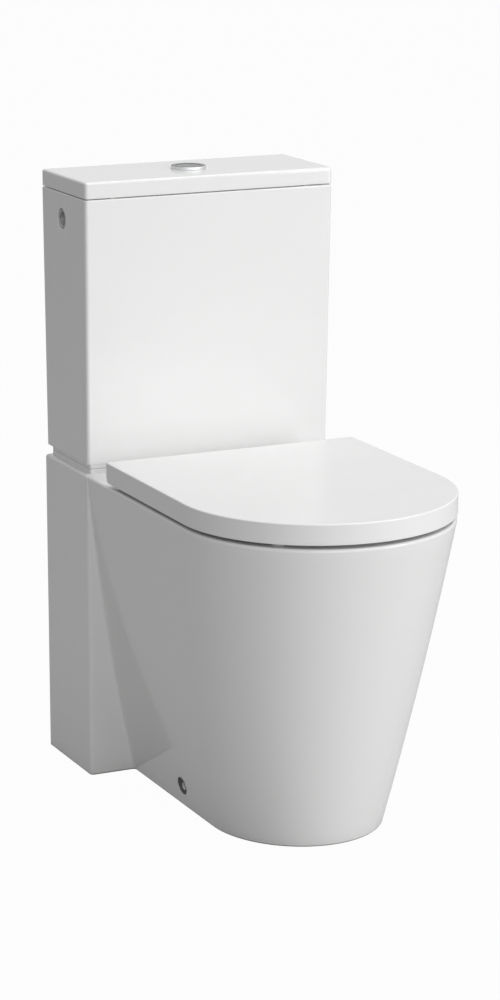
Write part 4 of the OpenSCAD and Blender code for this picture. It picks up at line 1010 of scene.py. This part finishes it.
# ------ coupling of cistern and pan
# Two brass bolts hang through the cistern's floor and pull it down with wing nuts under the
# pan's deck. A foam ring seals round the valve's tail and two cushions take the load.
foam = rubber("dark_foam", (0.13, 0.13, 0.135), 0.85)
brass = plated("brass", (0.72, 0.56, 0.30), 0.22, 0.38)
eased_fitting("coupling_gasket", "_foam", 0.0010, "base", foam, 3)
cushions = turned("coupling_cushions_foam", (bolt_x, valve_y, 0.430), (0, 0, 1),
                  [(0.0043, 0), (0.0132, 0), (0.0139, 0.0008), (0.0140, 0.0064),
                   (0.0139, 0.0120), (0.0132, 0.0128), (0.0043, 0.0128)], "NOTHING", 56)
pair(cushions)
finish(cushions, "base", foam)
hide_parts("coupling_cushions")
bolt_low = 0.392
under_head = 0.4603
shank = under_head - bolt_low
bolts = turned("coupling_bolts_brass", (bolt_x, valve_y, bolt_low), (0, 0, 1),
               [(0.0030, 0)] + thread(0.0040, 0.0006, 0.0346, 0.00125, 0.0005)
               + [(0.0040, 0.0356), (0.0040, shank), (0.0078, shank), (0.0080, shank + 0.0003)]
               + [(0.0080 - i * 1.6, shank + 0.005 - d) for i, d in round_over(0.0024, 5)],
               sides=56)
carve(bolts, block("slot", (bolt_x - 0.009, valve_y - 0.0006, under_head + 0.0028),
                   (bolt_x + 0.009, valve_y + 0.0006, 0.470)))
pair(bolts)
finish(bolts, "base", brass)
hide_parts("coupling_bolts")
seals = turned("coupling_seals_rubber", (bolt_x, valve_y, tank_floor), (0, 0, 1),
               [(0.0043, 0), (0.0115, 0), (0.0120, 0.0005), (0.0113, 0.0035), (0.0108, 0.0040),
                (0.0043, 0.0040)], "NOTHING", 56)
pair(seals)
finish(seals, "base", black_rubber)
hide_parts("coupling_seals")
eased_fitting("coupling_washers", "_brass", 0.0003, "base", brass)
eased_fitting("wing_nuts", "_brass", 0.0006, "base", brass, 3)

# ------ flush valve
# A plastic valve stands in the cistern's floor. Its blue base is clamped by a nut under the
# floor, its white housing guides the piston and overflow, and two orange rockers under the
# rods lift the piston for a full flush or free the small float for a half flush.
finishes = {"blue_plastic": moulded("blue_plastic", (0.045, 0.13, 0.30), 0.28, 0.42),
            "orange_plastic": moulded("orange_plastic", (0.66, 0.17, 0.025), 0.30, 0.44),
            "white_plastic": white_plastic, "black_rubber": black_rubber, "steel": steel}
for node, body, slot_name, ease in (
        ("valve_base", "base", "blue_plastic", 0.0006),
        ("base_seal", "base", "black_rubber", 0.0005),
        ("valve_backnut", "base", "blue_plastic", 0.0008),
        ("valve_housing", "base", "white_plastic", 0.0004),
        ("rocker_pins", "base", "steel", 0.0003),
        ("flush_piston", "piston", "blue_plastic", 0.0005),
        ("piston_seal", "piston", "black_rubber", 0.0004),
        ("overflow_tube", "piston", "white_plastic", 0.0005),
        ("lift_head", "piston", "orange_plastic", 0.0005),
        ("full_flush_rocker", "full_rocker", "orange_plastic", 0.0004),
        ("half_flush_rocker", "half_rocker", "orange_plastic", 0.0004),
        ("half_flush_slider", "half_slider", "orange_plastic", 0.0005),
        ("half_flush_float", "half_slider", "white_plastic", 0.0010)):
    eased_fitting(node, "_part", ease, body, finishes[slot_name])

# ------ fill valve
# The fill valve hangs from the inlet bush. A float cup rides up a steel rod with the water,
# and the lever at the top shuts the valve when the cup has risen.
for node, body, slot_name, ease in (
        ("fill_valve", "base", "white_plastic", 0.0006),
        ("lever_pin", "base", "steel", 0.0002),
        ("float_lever", "float_lever", "blue_plastic", 0.0004),
        ("float_rod", "float", "steel", 0.0003),
        ("float_cup", "float", "white_plastic", 0.0010)):
    eased_fitting(node, "_part", ease, body, finishes[slot_name])

# ------ floor, lamps and camera
# A plain pale studio: a wide floor that fades into white, large soft lamps round the front
# and right, one overhead, and an even sky that keeps the left side in soft shade.
floor_size = 80
bpy.ops.mesh.primitive_plane_add(size=floor_size, location=(0, 0, -0.0005))
floor = bpy.context.object
floor.name = "studio_floor"
floor_paint = bpy.data.materials.new("studio_floor")
floor_paint.use_nodes = True
tree = floor_paint.node_tree
tree.nodes.clear()
rays = tree.nodes.new("ShaderNodeLightPath").outputs
mirrored = add_node(tree, "Math", 0, {0: rays["Is Glossy Ray"], 1: 0.40}, operation="MULTIPLY")
seen = add_node(tree, "Math", 0, {0: rays["Is Camera Ray"], 1: mirrored}, operation="MAXIMUM")
share = add_node(tree, "Math", 0, {0: seen, 1: 0.97}, operation="MULTIPLY")
matt = add_node(tree, "BsdfDiffuse", 0, {"Color": (0.38, 0.38, 0.38, 1)})
glow = add_node(tree, "Emission", 0, {"Color": (1, 1, 1, 1)})
mix = add_node(tree, "MixShader", 0, {"Fac": share, 1: matt, 2: glow})
feed(tree, tree.nodes.new("ShaderNodeOutputMaterial"), {"Surface": mix})
floor.data.materials.append(floor_paint)

world = bpy.context.scene.world or bpy.data.worlds.new("studio")
bpy.context.scene.world = world
world.use_nodes = True
tree = world.node_tree
tree.nodes.clear()
rays = tree.nodes.new("ShaderNodeLightPath").outputs
seen = add_node(tree, "Math", 0, {0: rays["Is Camera Ray"], 1: rays["Is Transmission Ray"]},
                operation="MAXIMUM")
mirrored = add_node(tree, "Math", 0, {0: rays["Is Glossy Ray"], 1: 0.70}, operation="MULTIPLY")
shown = add_node(tree, "Math", 0, {0: seen, 1: mirrored}, operation="MAXIMUM")
sky = add_node(tree, "Background", 0, {"Color": (1, 1, 1, 1), "Strength": 0.35})
white = add_node(tree, "Background", 0, {"Color": (1, 1, 1, 1), "Strength": 1})
mix = add_node(tree, "MixShader", 0, {"Fac": shown, 1: sky, 2: white})
feed(tree, tree.nodes.new("ShaderNodeOutputWorld"), {"Surface": mix})

lamp_aim = (0, 0, 0.4)
for name, place, size, watts in (
        ("right_lamp", (3.6, -2.8, 2.2), 2.2, 28), ("low_right_lamp", (2.6, -3.4, 0.9), 1.6, 48),
        ("front_lamp", (1.0, -4.2, 2.2), 2.2, 33), ("left_front_lamp", (-1.4, -4.4, 1.8), 1.8, 34),
        ("top_lamp", (0.6, -0.4, 4.4), 2.6, 68)):
    bpy.ops.object.light_add(type="AREA", location=place)
    lamp = bpy.context.object
    lamp.name = name
    lamp.data.shape = "DISK"
    lamp.data.size = size
    lamp.data.energy = watts
    lamp.rotation_euler = (Vector(lamp_aim) - Vector(place)).to_track_quat("-Z", "Y").to_euler()

bpy.ops.object.camera_add(location=(-1.7418, -3.6339, 1.4081))
camera = bpy.context.object
camera.name = "camera"
camera.rotation_euler = Vector((0.415, 0.878, -0.239)).to_track_quat("-Z", "Y").to_euler()
camera.data.sensor_width = 36
camera.data.lens = 111.75
camera.data.clip_end = 200
bpy.context.scene.camera = camera
bpy.context.scene.view_settings.view_transform = "Standard"
